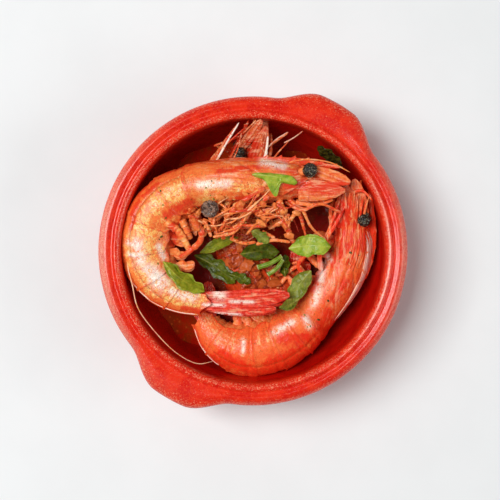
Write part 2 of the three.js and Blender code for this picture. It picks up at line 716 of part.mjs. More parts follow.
setDown("peppercorn", peppercornSolid, 36);
for (const [name, leaf] of Object.entries(LEAVES)) {
  const heights = leafHeights(leaf, heightReader(taken));
  setDown(name, (lift, grow) => leafSolid(leaf, heights, lift, grow), -2);
}
for (const [name, stalk] of Object.entries(STALKS)) {
  const heightAt = heightReader(taken);
  setDown(name, (lift, grow) => stalkSolid(stalk, heightAt, lift, grow), -4);
}
setDown("leaf_on_wall", (lift, grow) => wallLeafSolid(WALL_LEAF, grow), 0);

const dish = new THREE.Group();
function addPiece(name, material) {
  const mesh = new THREE.Mesh(geometryOf(solids[name]), material);
  mesh.name = name;
  dish.add(mesh);
}

addPiece("bowl", GLAZE);
for (const name of Object.keys(PRAWNS)) addPiece(name, SHELL);
for (const name of Object.keys(LEAVES)) addPiece(name, PARSLEY);
for (const name of Object.keys(STALKS)) addPiece(name, STALK);
addPiece("peppercorn", CHARRED);
addPiece("leaf_on_wall", CHARRED);

export default dish;
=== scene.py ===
"""A small glazed clay dish of whole grilled prawns with torn parsley.

Operators build the pieces, one for each group. Sizes here are in millimetres, and the pieces are
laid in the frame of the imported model, which is in metres with +Z up.
"""

import math

import bpy
import numpy as np
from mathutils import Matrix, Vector, noise
from mathutils.bvhtree import BVHTree


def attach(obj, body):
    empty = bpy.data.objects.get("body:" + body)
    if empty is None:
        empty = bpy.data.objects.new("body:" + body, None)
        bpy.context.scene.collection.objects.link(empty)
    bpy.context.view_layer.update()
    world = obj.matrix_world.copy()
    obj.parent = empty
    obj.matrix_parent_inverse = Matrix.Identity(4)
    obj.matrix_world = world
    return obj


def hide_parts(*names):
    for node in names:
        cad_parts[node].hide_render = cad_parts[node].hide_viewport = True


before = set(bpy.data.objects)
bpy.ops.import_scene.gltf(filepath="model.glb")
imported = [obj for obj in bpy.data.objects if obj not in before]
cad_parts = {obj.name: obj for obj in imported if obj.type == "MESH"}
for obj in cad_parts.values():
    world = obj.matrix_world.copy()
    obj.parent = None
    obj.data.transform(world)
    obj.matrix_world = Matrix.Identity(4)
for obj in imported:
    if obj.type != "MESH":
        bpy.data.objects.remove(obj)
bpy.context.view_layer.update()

bl_info = {
    "name": "Bowl of grilled prawns",
    "version": (1, 0, 0),
    "blender": (4, 5, 0),
    "location": "3D View > Sidebar > Prawns",
    "description": "Builds a clay dish of grilled prawns and parsley, piece by piece",
    "category": "Add Mesh",
}

MM = 0.001

# Sizes that the pieces share with the solids, in millimetres
PROFILE_POINTS = (
    (0, 0, 0), (40, 0, 0), (44.5, 1.6, 0), (51, 8.5, 0), (56, 16, 0), (59.5, 23.5, 0), (60.9, 28, 0.1),
    (61.7, 30, 0.7), (62.5, 32.6, 1), (62.1, 35, 0.95), (60.7, 36.7, 0.8), (59.1, 37.4, 0.5),
    (56.8, 36.8, 0), (55.5, 37.5, 0), (53.7, 36.5, 0), (53.2, 33.5, 0), (52.9, 25, 0), (51, 16.5, 0),
    (46.7, 10.4, 0), (39.2, 7, 0), (29.2, 6, 0), (0, 6, 0),
)
LUG_DIRECTIONS = (60, 240)
LUG_HALF_ANGLE = 22
LUG_REACH = 6.35

PRAWNS = {
    "prawn_top": dict(
        spine=((20.1, 28, 35), (4.8, 27.8, 35), (-10.1, 27.4, 34.2), (-24.2, 24.7, 32.4),
               (-35.4, 18.3, 30.6), (-41.7, 8, 29), (-41.7, -2.5, 28.4), (-36.5, -12, 28.6),
               (-27.6, -18.2, 29.4), (-16.4, -20.8, 30), (-1.2, -21.2, 30), (15.9, -20, 29.6)),
        turn=1, roll=(10, 14), girth=1, plump=1, carapace=44, tail=66, fan=36, crest_dip=0.4, teeth=0.9,
        leg_sides=(-1, 1), leg_count=5, flap_reach=17, wrinkle=1.2, seed=3,
        sticks=(
            (((14, 21, 35), (20.1, 16.9, 35.5), (26.9, 18.9, 36.5), (35, 15.3, 35)), 0.78, 0.42),
            (((15, 21, 34), (20.5, 16, 34.5), (22.9, 10.4, 32.5), (28.9, 4.4, 30)), 0.74, 0.3),
            (((13, 20, 33), (18.9, 15.5, 33), (20.5, 10.4, 32), (21.7, 4.6, 30)), 0.76, 0.32),
            (((4.5, 25, 42.4), (-7.1, 17.4, 42), (-13, 8.7, 37)), 1.1, 0.7),
            (((6, 22, 41), (-2, 14.6, 39.5), (-6.3, 9.1, 36), (-14.6, 5.9, 33)), 1.2, 0.8),
            (((-8, 18, 33), (-4.3, 10.8, 33), (5.6, 10.4, 33)), 1.6, 1),
            (((-49, 2, 30), (-50.6, -5, 33), (-48.6, -14, 34), (-46.6, -22.6, 33.6), (-41, -31, 32.6),
              (-31, -41.4, 31), (-22.6, -46, 28), (-16.6, -45.4, 25)), 0.26, 0.17),
            (((10, 34, 36.6), (20, 36.6, 37.4), (31, 35.4, 37), (39, 31.6, 36)), 0.42, 0.22),
        ),
    ),
    "prawn_right": dict(
        spine=((41.2, 12, 24), (40.8, 3, 21.6), (38.4, -6, 19.6), (33.8, -14, 18.4), (27.8, -21.6, 17.8),
               (20.2, -29.8, 17.6), (9.4, -37, 17.8), (-3.6, -39.4, 18), (-14.2, -35.2, 17),
               (-19.6, -26.8, 15.4), (-20.8, -17.4, 13.6), (-19.2, -7.6, 12.4)),
        turn=-1, roll=(10, 8), girth=1, plump=1.1, carapace=45, tail=50, fan=17, crest_dip=0, teeth=0.25,
        leg_sides=(-1, 1), leg_count=5, flap_reach=17, wrinkle=1.2, seed=11,
        sticks=(
            (((38, 17, 27), (40.2, 23.2, 32), (44, 24.2, 34), (48, 20.4, 35.4)), 1, 0.5),
            (((24, -13, 23), (18.6, -5.6, 26), (28.6, 4.4, 28.6), (35, 19.6, 31.4)), 0.92, 0.5),
            (((28, -8, 24), (27.4, -0.6, 27.6), (33.6, 11, 30), (38, 19, 31)), 1.2, 0.6),
        ),
    ),
    "prawn_back": dict(
        spine=((-2, 38.2, 24.6), (-5.3, 27.6, 19.6), (-7.2, 15.8, 16.4), (-7.2, 3.8, 15),
               (-4.4, -7.2, 14.6), (2.4, -14.4, 14.2), (11, -15.6, 13.2), (17.8, -10.8, 12.6),
               (20.2, -3.4, 12.2), (19.9, 4.8, 12.2)),
        turn=1, roll=(8, 2), girth=0.86, plump=1, carapace=40, tail=38, fan=11, crest_dip=0.8, teeth=0.7,
        leg_sides=(1,), leg_count=3, flap_reach=11, wrinkle=2.6, seed=23,
        sticks=(
            (((1, 40, 26), (7, 43.2, 29.4), (14.3, 48, 32)), 0.8, 0.4),
            (((-8, 40, 26), (-15.4, 43.1, 29)), 0.9, 0.4),
        ),
    ),
}
HEAD_BACK = ((-1, 5), (1, 7), (10, 8.8), (24, 9.6), (46, 10.4))
HEAD_BELLY = ((-1, 5), (1, 7.4), (10, 9), (24, 9.8), (46, 10.4))
HEAD_WIDTH = ((-1, 4), (1, 6), (10, 7.8), (24, 8.6), (46, 8.4))
TAIL_BACK = ((0, 10.2), (0.2, 11.6), (0.4, 12), (0.6, 11.2), (0.75, 9.6), (0.88, 7.4), (1, 5.6))
TAIL_BELLY = ((0, 10), (0.2, 11.8), (0.4, 12.2), (0.6, 11), (0.75, 9), (0.88, 6.6), (1, 5))
TAIL_WIDTH = ((0, 8.2), (0.25, 8.2), (0.5, 7.6), (0.75, 6.4), (0.9, 5), (1, 4))
PLATE_ENDS = (0, 0.15, 0.33, 0.51, 0.67, 0.81, 1)
LEG_PLACES = (10, 17, 24, 31, 37)
CREST_FROM, CREST_TO, CREST_HEIGHT, CREST_TEETH = -16, 20, 2.6, 6
EYE_RADIUS = 2.95
RIM_RADIUS, RIM_HEIGHT = 62.5, 37.5
DISH_SIDES = 216
SAUCE_RADIUS = 46.5
PEPPERCORN_PLACE, PEPPERCORN_RADIUS = (-17.2, 16.8), 3.75
# The dried leaf on the wall: degrees round the dish, then how far out and how high
WALL_LEAF_FROM, WALL_LEAF_TO = 58, 43
WALL_LEAF_RADIUS, WALL_LEAF_SLOPE = 48.4, 3.5
WALL_LEAF_FOOT, WALL_LEAF_HEIGHT = 23.5, 8
LIGHT_DISTANCE = 1.5  # metres
CAMERA_X, CAMERA_Y = -1.2, 0.4


# Small tools

def knots_at(knots, place):
    """The value of a list of (place, value) knots, in straight lines between them."""
    places, values = zip(*knots)
    return np.interp(place, places, values)


def eased(knots, place, blur):
    """The same value, with its corners rounded over the length blur."""
    return sum(knots_at(knots, place + shift * blur) for shift in (-1, -0.5, 0, 0.5, 1)) / 5


def smooth(value, low, high):
    """0 below low, 1 above high, and an S between them."""
    share = np.clip((value - low) / (high - low), 0, 1)
    return share * share * (3 - 2 * share)


def hump(value, middle, width):
    """1 at middle, falling away on both sides, to a little over a third at width from it."""
    return np.exp(-(((value - middle) / width) ** 2))


def bumps(points, size, seed=0.0):
    """Smooth noise from -1 to 1 at points in millimetres, with features of that size."""
    shift = Vector((seed * 7.3, seed * 3.1, seed * 5.7))
    return np.array([noise.noise(Vector(point) / size + shift) for point in points])


def deselect():
    bpy.ops.object.select_all(action="DESELECT")


def pick(*objects):
    """Selects these objects alone and makes the first active."""
    deselect()
    for obj in objects:
        obj.select_set(True)
    bpy.context.view_layer.objects.active = objects[0]


def edit(obj, *steps):
    """Runs edit-mode steps on all of obj."""
    pick(obj)
    bpy.ops.object.mode_set(mode="EDIT")
    bpy.ops.mesh.select_all(action="SELECT")
    for step in steps:
        step()
    bpy.ops.object.mode_set(mode="OBJECT")


def coordinates(obj):
    points = np.empty(len(obj.data.vertices) * 3)
    obj.data.vertices.foreach_get("co", points)
    return points.reshape(-1, 3)


def put_coordinates(obj, millimetres):
    """Moves every vertex of obj, given in millimetres, to its place in metres."""
    obj.data.vertices.foreach_set("co", (np.asarray(millimetres) * MM).ravel())
    obj.data.update()


def note(obj, **values):
    """Keeps numbers along the surface, one for each vertex, for the materials to read."""
    for name, value in values.items():
        data = obj.data.attributes.get(name) or obj.data.attributes.new(name, "FLOAT", "POINT")
        data.data.foreach_set("value", np.broadcast_to(value, len(obj.data.vertices)).astype(float))


def apply_modifier(obj, kind, **settings):
    pick(obj)
    bpy.ops.object.modifier_add(type=kind)
    modifier = obj.modifiers[-1]
    for name, value in settings.items():
        setattr(modifier, name, value)
    bpy.ops.object.modifier_apply(modifier=modifier.name)


def normals_of(obj):
    normals = np.empty(len(obj.data.vertices) * 3)
    obj.data.vertices.foreach_get("normal", normals)
    return normals.reshape(-1, 3)


def face_out(obj):
    """Merges vertices that coincide and turns the faces outwards."""
    edit(obj, lambda: bpy.ops.mesh.remove_doubles(threshold=1e-6),
         lambda: bpy.ops.mesh.normals_make_consistent(inside=False))


def round_off(obj, degrees):
    """Shades all edges smooth but those sharper than so many degrees."""
    pick(obj)
    bpy.ops.object.shade_smooth_by_angle(angle=math.radians(degrees))
    return obj


def close_up(obj, degrees):
    face_out(obj)
    return round_off(obj, degrees)


BLANKS = {}


def blank_copy(name, key, draw):
    """A copy of a plain starting form, which is drawn the first time and then kept."""
    if key not in BLANKS:
        deselect()
        draw()
        blank = bpy.context.object
        BLANKS[key] = blank.data.copy()
        bpy.data.objects.remove(blank)
    obj = bpy.data.objects.new(name, BLANKS[key].copy())
    bpy.context.collection.objects.link(obj)
    return obj


def rod(name, sides, rings):
    """A straight closed rod from z 0 to 1, drawn up ring by ring, to be bent along a line."""

    def draw():
        bpy.ops.mesh.primitive_circle_add(vertices=sides, radius=1, fill_type="NGON")
        bpy.ops.object.mode_set(mode="EDIT")
        bpy.ops.mesh.select_all(action="SELECT")
        for _ in range(rings):
            bpy.ops.mesh.extrude_region_move(TRANSFORM_OT_translate={"value": (0, 0, 1 / rings)})
        bpy.ops.mesh.select_all(action="SELECT")
        bpy.ops.mesh.normals_make_consistent(inside=False)
        bpy.ops.object.mode_set(mode="OBJECT")

    return blank_copy(name, ("rod", sides, rings), draw)


def sheet(name, rows, columns):
    """A flat sheet of squares with x and y from -1 to 1, to be laid over a form."""
    return blank_copy(name, ("sheet", rows, columns), lambda: bpy.ops.mesh.primitive_grid_add(
        x_subdivisions=rows, y_subdivisions=columns, size=2))


def ball(name, cuts):
    """A round ball of radius 1 with even faces."""
    return blank_copy(name, ("ball", cuts), lambda: bpy.ops.mesh.primitive_ico_sphere_add(
        subdivisions=cuts, radius=1))


def sheet_places(obj):
    """Where a sheet's vertices lie: from 0 to 1 along it, and from -1 to 1 across it."""
    flat = coordinates(obj)
    return (flat[:, 0] + 1) / 2, flat[:, 1]


def join(name, parts):
    """Joins parts into one object called name."""
    pick(*parts)
    if len(parts) > 1:
        bpy.ops.object.join()
    whole = bpy.context.view_layer.objects.active
    whole.name = name
    whole.data.name = name
    return whole


def hand_over(obj, slot, *nodes):
    """Lets a finished piece ride on the part and stand for its solids."""
    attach(obj, "root")
    if nodes:
        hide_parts(*nodes)


# Lines and forms

def curve_through(points, steps=40):
    """Evenly spread samples of a smooth line through points."""
    knots = np.array(points, float)
    line = np.vstack([2 * knots[0] - knots[1], knots, 2 * knots[-1] - knots[-2]])
    samples = []
    for p0, p1, p2, p3 in zip(line, line[1:], line[2:], line[3:]):
        d0, d1, d2 = (max(np.linalg.norm(b - a), 1e-4) ** 0.5 for a, b in ((p0, p1), (p1, p2), (p2, p3)))
        t1 = ((p1 - p0) / d0 - (p2 - p0) / (d0 + d1) + (p2 - p1) / d1) * d1
        t2 = ((p2 - p1) / d1 - (p3 - p1) / (d1 + d2) + (p3 - p2) / d2) * d1
        t = np.linspace(0, 1, steps, endpoint=False)[:, None]
        samples.append(p1 + t1 * t + (3 * p2 - 3 * p1 - 2 * t1 - t2) * t**2
                       + (2 * p1 - 2 * p2 + t1 + t2) * t**3)
    samples.append(knots[-1:])
    samples = np.vstack(samples)
    arc = np.concatenate([[0], np.cumsum(np.linalg.norm(np.diff(samples, axis=0), axis=1))])
    return samples, arc


class BodyLine:
    """The middle line of a prawn, from the front of its head plate to the end of its fan.

    A place on the body is given as along, back and side: millimetres along the line, towards the
    back, and up out of the flat curl in which the prawn lies.
    """

    def __init__(self, spine, turn, roll):
        self.samples, self.arc = curve_through(spine, 60)
        self.turn, self.roll, self.length = turn, roll, self.arc[-1]
        steps = np.gradient(self.samples, axis=0)
        self.forward = steps / np.linalg.norm(steps, axis=1)[:, None]

    def at(self, along, back, side):
        arrays = (np.atleast_1d(value).astype(float) for value in (along, back, side))
        along, back, side = np.broadcast_arrays(*arrays)
        held = np.clip(along, 0, self.length)
        middle = np.stack([np.interp(held, self.arc, self.samples[:, k]) for k in range(3)], 1)
        forward = np.stack([np.interp(held, self.arc, self.forward[:, k]) for k in range(3)], 1)
        forward /= np.linalg.norm(forward, axis=1)[:, None]
        middle = middle + forward * (along - held)[:, None]
        level = np.cross(forward, (0, 0, 1.0))
        level *= self.turn / np.linalg.norm(level, axis=1)[:, None]
        upward = np.cross(level, forward) * self.turn
        lift = np.radians(self.roll[0] + (self.roll[1] - self.roll[0]) * held / self.length)
        towards_back = back * np.cos(lift) - side * np.sin(lift)
        towards_side = back * np.sin(lift) + side * np.cos(lift)
        return middle + level * towards_back[:, None] + upward * towards_side[:, None]

    def run(self, *places):
        """The points of several places on the body, as a line for a limb."""
        return tuple(self.at(*place)[0] for place in places)


def body_sizes(prawn, along):
    """Half sizes of the body to the back, to the belly and to the side, at places along it."""
    share = (along - prawn["carapace"]) / prawn["tail"]
    inside = smooth(along, prawn["carapace"] - 1, prawn["carapace"] + 2)
    sizes = []
    for head, tail in ((HEAD_BACK, TAIL_BACK), (HEAD_BELLY, TAIL_BELLY), (HEAD_WIDTH, TAIL_WIDTH)):
        front = eased(head, along, 1.6)
        rear = eased(tail, share, 0.05) * prawn["plump"]
        sizes.append(prawn["girth"] * (front * (1 - inside) + rear * inside))
    return sizes


def on_body(line, prawn, along, angle, scale, extra=0.0):
    """Points on the body's surface, angle 0 being the back and pi the belly."""
    back, belly, width = body_sizes(prawn, along)
    rise = np.cos(angle)
    narrowing = 1 - 0.3 * np.maximum(0, -rise) ** 2
    reach = np.where(rise > 0, back, belly) * scale + extra
    return line.at(along, rise * reach, np.sin(angle) * (width * narrowing * scale + extra))


def tube_points(unit, points, radius_at, flat=1.0):
    """Bends a straight rod's vertices along points. radius_at gives the radius by share of length."""
    samples, arc = curve_through(points)
    share = unit[:, 2]
    wanted = share * arc[-1]
    middle = np.stack([np.interp(wanted, arc, samples[:, k]) for k in range(3)], 1)
    steps = np.gradient(samples, axis=0)
    steps /= np.linalg.norm(steps, axis=1)[:, None]
    side = np.cross(steps[0], (0, 0, 1.0))
    if np.linalg.norm(side) < 0.2:
        side = np.cross(steps[0], (1.0, 0, 0))
    sides = []
    for step in steps:
        side = side - step * np.dot(side, step)
        side = side / np.linalg.norm(side)
        sides.append(side)
    sides = np.array(sides)
    ups = np.cross(sides, steps)
    level = np.stack([np.interp(wanted, arc, sides[:, k]) for k in range(3)], 1)
    upward = np.stack([np.interp(wanted, arc, ups[:, k]) for k in range(3)], 1)
    radius = radius_at(share)[:, None]
    return middle + level * unit[:, :1] * radius + upward * unit[:, 1:2] * radius * flat


def limb(name, points, start, end, joints=(), sides=12, rings=24, flat=0.8, knuckle=0.14, middle=0.0):
    """A leg, a feeler or a stalk: a closed tube, thicker at its joints, with a rounded tip."""
    obj = rod(name, sides, rings)
    unit = coordinates(obj)
    ridges = 1 + 0.05 * np.cos(np.arctan2(unit[:, 0], unit[:, 1]) * (sides // 3) + start * 9)
    unit[:, :2] *= ridges[:, None]

    def radius_at(share):
        radius = start + (end - start) * share + middle * np.sin(math.pi * share)
        for joint in joints:
            radius = radius * (1 + knuckle * hump(share, joint, 0.035))
            radius = radius * (1 - 0.18 * hump(share, joint + 0.06, 0.03))
        tip = np.clip(1.02 - smooth(share, 0.93, 1.02), 0.05, 1)
        return radius * np.sqrt(tip * np.clip(smooth(share, -0.03, 0.05), 0.05, 1))

    bent = tube_points(unit, points, radius_at, flat)
    put_coordinates(obj, bent)
    swell(obj, 0.1 * min(start, 1.2) * bumps(bent, 2.2, start))
    note(obj, along=unit[:, 2], around=np.abs(np.arctan2(unit[:, 0], unit[:, 1])) / math.pi, rim=0)
    return obj


def lay_sheet(obj, points, away_from=None):
    """Puts a sheet's vertices in place and turns its faces away from the points away_from."""
    put_coordinates(obj, points)
    if away_from is not None:
        outward = np.asarray(points) - np.asarray(away_from)
        if np.sum(normals_of(obj) * outward) < 0:
            edit(obj, bpy.ops.mesh.flip_normals)


def swell(obj, millimetres):
    """Moves each vertex along its own normal."""
    put_coordinates(obj, coordinates(obj) / MM + normals_of(obj) * np.asarray(millimetres)[:, None])


def thicken(obj, thickness, offset=-1.0):
    apply_modifier(obj, "SOLIDIFY", thickness=thickness * MM, offset=offset, use_rim=True)


BLADE_OUTLINE = ((0, 0.45), (0.15, 0.7), (0.4, 0.95), (0.65, 1), (0.85, 0.8), (0.96, 0.45), (1, 0.18))
POINTED_OUTLINE = ((0, 0.3), (0.1, 0.74), (0.25, 1), (0.55, 0.92), (0.8, 0.66), (0.95, 0.3), (1, 0.12))


BLADE_ROWS, BLADE_COLUMNS = 40, 30


def scale_blade(name, line, start, stop, width, thickness, ribs, arch, outline=BLADE_OUTLINE):
    """A flat blade of shell between two places of the body, ribbed from its root to its tip."""
    obj = sheet(name, BLADE_ROWS, BLADE_COLUMNS)
    share, across = sheet_places(obj)
    start, stop = np.array(start, float), np.array(stop, float)
    slope = math.atan2(stop[1] - start[1], stop[0] - start[0])
    half = 0.5 * width * knots_at(outline, share) * across
    fan = 0.14 * np.cos(across * math.pi * ribs) * smooth(share, 0.02, 0.2) * (1 - across**4)
    middle = start + (stop - start) * share[:, None]
    lift = arch * (1 - across**2) * np.sin(math.pi * np.clip(share, 0, 1)) ** 0.5 + fan
    points = line.at(middle[:, 0] - half * math.sin(slope), middle[:, 1] + half * math.cos(slope),
                     middle[:, 2] + lift)
    lay_sheet(obj, points)
    swell(obj, 0.16 * bumps(points, 3.2, width) + 0.08 * bumps(points, 1.3, width + 1))
    edge = np.maximum(smooth(np.abs(across), 0.8, 1), smooth(share, 0.9, 1))
    note(obj, along=share, around=np.abs(across), rim=edge, rib=smooth(fan, 0.04, 0.12))
    thicken(obj, thickness, 0)
    return obj


# The prawns

SHELL_THICKNESS = 0.5
SIDE_SEAM = 0.75  # radians from the middle of the back


def shell_plate(name, line, prawn, along, angle, scale, relief, rows, columns):
    """One plate of the shell: along, angle and scale say where it lies, and relief how it stands out."""
    obj = sheet(name, rows, columns)
    share, side = sheet_places(obj)
    turned = angle(share, side)
    place = along(share, turned)
    points = on_body(line, prawn, place, turned, scale(share))
    lay_sheet(obj, points, line.at(place, 0, 0))
    swell(obj, relief(share, side, turned, place, points))
    rim = np.maximum(smooth(share, 0.9, 1.0), smooth(np.abs(side), 0.88, 1.0))
    tail_start = prawn["carapace"]
    on_tail = (place > tail_start + 2) & (place < tail_start + prawn["tail"] * 0.8)
    seam = hump(np.abs(turned), SIDE_SEAM, 0.03) * on_tail
    note(obj, along=place, around=np.abs(turned) / math.pi, rim=rim, seam=seam)
    thicken(obj, SHELL_THICKNESS)
    face_out(obj)
    return obj


def head_plate(name, line, prawn):
    """The plate over the head, with its grooves, and ridges along its back and near its front."""
    carapace, seed = prawn["carapace"], prawn["seed"]

    def angle(share, side):
        lower = np.radians(128 - 34 * (1 - smooth(share, 0.0, 0.22)) ** 2 - 10 * smooth(share, 0.9, 1.0) ** 2)
        return side * lower

    def along(share, turned):
        turn = np.abs(turned)
        front = -0.6 + 3.2 * hump(turn, 0.85, 0.3) - 1.5 * hump(turn, 1.3, 0.12)
        front = front + 3.4 * smooth(turn, 1.5, 2.2)
        rear = carapace + 1.6 - 1.4 * hump(turn, 0, 0.5) + 1.2 * np.sin(np.clip(turn, 0, 2.2))
        return front + (rear - front) * share

    def scale(share):
        return 0.985 + 0.012 * smooth(share, 0.8, 1.0)

    def relief(share, side, turned, place, points):
        turn = np.abs(turned)
        g = prawn["girth"]
        groove_at = 25 - 9 * smooth(turn, 0.35, 1.4)
        groove = -0.42 * hump(place, groove_at, 0.9) * smooth(turn, 0.25, 0.5) \
            * (1 - smooth(turn, 1.5, 1.8))
        cheek_at = 1.55 - 0.012 * place
        cheek = -0.3 * hump(turn, cheek_at, 0.07) * smooth(place, 13, 17) \
            * (1 - smooth(place, 34, 40))
        keel = 0.55 * hump(turn, 0, 0.1) * (1 - smooth(place, 24, 38))
        side_groove = -0.3 * hump(turn, 0.24, 0.06) * (1 - smooth(place, 20, 30))
        spine = 0.5 * hump(turn, 1.3, 0.09) * (1 - smooth(place, 2, 9))
        bead = 0.26 * smooth(share, 0.955, 0.985) + 0.2 * smooth(np.abs(side), 0.95, 0.98)
        wrinkle = 0.17 * bumps(points * (1, 1, 0.6), 5.5 * g, seed) + 0.07 * bumps(points, 1.7, seed + 1)
        return groove + cheek + keel + side_groove + spine + bead + wrinkle * prawn["wrinkle"]

    return shell_plate(name, line, prawn, along, angle, scale, relief, 110, 96)


def tail_plate(name, line, prawn, i):
    """Plate i of the tail, tucked under the one before it, with a lobe at each side."""
    first = prawn["carapace"] + prawn["tail"] * PLATE_ENDS[i]
    last = prawn["carapace"] + prawn["tail"] * PLATE_ENDS[i + 1]
    seed = prawn["seed"] + 3 * i
    tuck = 2.4 if i else 3.4
    lobe = (24, 20, 16, 14, 10, 4)[i]

    def angle(share, side):
        lower = 112 + lobe * np.sin(math.pi * np.clip(share * 0.96 + 0.04, 0, 1)) ** 0.7
        return side * np.radians(lower)

    def along(share, turned):
        turn = np.abs(turned)
        rear = last + 1.1 + (0.9 - 0.5 * (i == 5)) * np.sin(np.clip(turn * 1.1, 0, math.pi)) ** 2
        rear = rear - 2.2 * smooth(turn, 1.9, 2.4)
        if i == 5:
            rear = rear + 2.4 * hump(turn, 1.3, 0.32) - 1.1 * hump(turn, 0.5, 0.4)
        front = first - tuck + 1.8 * smooth(turn, 1.8, 2.4)
        return front + (rear - front) * share

    def scale(share):
        return 0.93 + 0.062 * smooth(share, 0.0, 0.3) + 0.018 * smooth(share, 0.3, 1.0)

    def relief(share, side, turned, place, points):
        turn = np.abs(turned)
        hinge = -0.24 * hump(place, first + 2.6 + 0.7 * np.cos(turn), 0.5) * (i < 5)
        bead = 0.3 * smooth(share, 0.93, 0.965) + 0.24 * smooth(np.abs(side), 0.94, 0.98)
        keel = 0.5 * hump(turn, 0, 0.14) * (i > 2)
        seam = -0.3 * hump(turn, SIDE_SEAM, 0.05) * smooth(share, 0.1, 0.3) * (i < 5)
        lines = 0.06 * np.sin(turn * 34 + 1.5 * bumps(points, 6, seed)) * smooth(turn, 0.9, 1.5)
        wrinkle = 0.16 * bumps(points, 4.5, seed) + 0.07 * bumps(points, 1.5, seed + 1)
        return hinge + bead + keel + seam + lines + wrinkle * prawn["wrinkle"]

    return shell_plate(name, line, prawn, along, angle, scale, relief, 44, 84)


def flesh(name, line, prawn):
    """The meat inside the shell, with the cross folds of the belly."""
    obj = rod(name, 48, 120)
    unit = coordinates(obj)
    angle = np.arctan2(unit[:, 0], unit[:, 1])
    end = prawn["carapace"] + prawn["tail"] - 0.5
    along = 1.5 + (end - 1.5) * unit[:, 2]
    points = on_body(line, prawn, along, angle, 0.9)
    put_coordinates(obj, points)
    belly = smooth(np.abs(angle), 1.9, 2.6)
    folds = 0.35 * np.sin(along * 2 * math.pi / 4.2) * belly + 0.3 * bumps(points, 3, prawn["seed"])
    swell(obj, folds)
    note(obj, along=along, around=np.abs(angle) / math.pi, rim=0, meat=1)
    return obj


def crest_top(prawn, share):
    behind = eased(((0, 6), (0.45, 9), (1, 10.2)), share, 0.06) * prawn["girth"]
    return behind - prawn["crest_dip"] * (1 - share) ** 1.4 + 0.6 * np.sin(math.pi * share)


def crest(name, line, prawn):
    """The toothed beak that runs forward from the head plate over the eyes."""
    obj = rod(name, 14, 150)
    unit = coordinates(obj)
    share = unit[:, 2]
    length = CREST_TO - CREST_FROM
    along = CREST_FROM + share * length
    top = crest_top(prawn, share)
    for i in range(1, CREST_TEETH + 1):
        back = (i - 0.3) / (CREST_TEETH + 0.5) * length + CREST_FROM
        behind = back - along
        rising, falling = np.clip(behind / 1.6, 0, 1), np.clip((1.95 - behind) / 0.35, 0, 1)
        top = top + prawn["teeth"] * np.where(behind < 1.6, rising, falling)
    under = crest_top(prawn, share) - CREST_HEIGHT * np.sqrt(np.clip(share * 3, 0.02, 1)) \
        - 0.8 * smooth(share, 0.3, 1)
    lower_tooth = hump(share, 0.16, 0.012) * 0.6
    middle, half = (top + under - lower_tooth) / 2, (top - under + lower_tooth) / 2
    half = half * smooth(share, -0.02, 0.03)
    rib = 1 + 0.5 * hump(unit[:, 1], -0.25, 0.22)
    wide = 0.58 * unit[:, 0] * rib * (0.35 + 0.65 * smooth(share, 0, 0.5)) * prawn["girth"]
    put_coordinates(obj, line.at(along, middle + half * unit[:, 1], wide))
    note(obj, along=along, around=0.05, rim=smooth(np.abs(unit[:, 1]), 0.75, 1), beak=1)
    return obj


def eye(name, line, prawn, side):
    """A dark, dried and puckered eye."""
    g, radius = prawn["girth"], EYE_RADIUS * prawn["girth"] ** 0.5
    obj = ball(name, 6)
    unit = coordinates(obj)
    middle = line.at(-2.6, 5 * g, side * 5.4 * g)[0]
    facets = 0.14 * bumps(unit * radius + middle, 0.6, prawn["seed"] + side)
    pucker = 0.75 * np.abs(bumps(unit * radius, 1.5, prawn["seed"] + 5))
    pucker = pucker + 0.3 * np.abs(bumps(unit * radius, 0.8, 2))
    put_coordinates(obj, middle + unit * (radius + 0.1 - pucker + facets)[:, None])
    return obj


def redden(pieces, amount):
    for piece in pieces:
        note(piece, flush=amount)
    return pieces


def blades_of_fan(line, prawn):
    """Two blades at each side with their roots, and the spike between them."""
    start = prawn["carapace"] + prawn["tail"] - 2
    end = start + prawn["fan"] + 2
    g = prawn["girth"]
    pieces = []
    for side in (-1, 1):
        pieces.append(scale_blade("fan", line, (start, -1.2, side * 2.1), (end - 0.4, -1.7, side * 2.4),
                                  width=7.4 * g, thickness=0.55, ribs=4.5, arch=0.3))
        pieces.append(scale_blade("fan", line, (start, 1.6, side * 1.5), (end - 6.4, 3.3, side * 2.0),
                                  width=7.4 * g * 0.68, thickness=0.5, ribs=3.5, arch=0.3))
        root = line.run((start - 1, 0, side * 1.2), (start + 3, 0.6, side * 2.4),
                        (start + 6, 0.9, side * 2.9))
        pieces.append(limb("fan", root, 1.9 * g, 1.1 * g, (0.7,), rings=20))
    spike = line.run((start - 1, 0, 0), (end - 9, 1, 0), (end - 3.2, 1.3, 0))
    pieces.append(limb("fan", spike, 3.1 * g, 0.7, sides=16, rings=40))
    return pieces


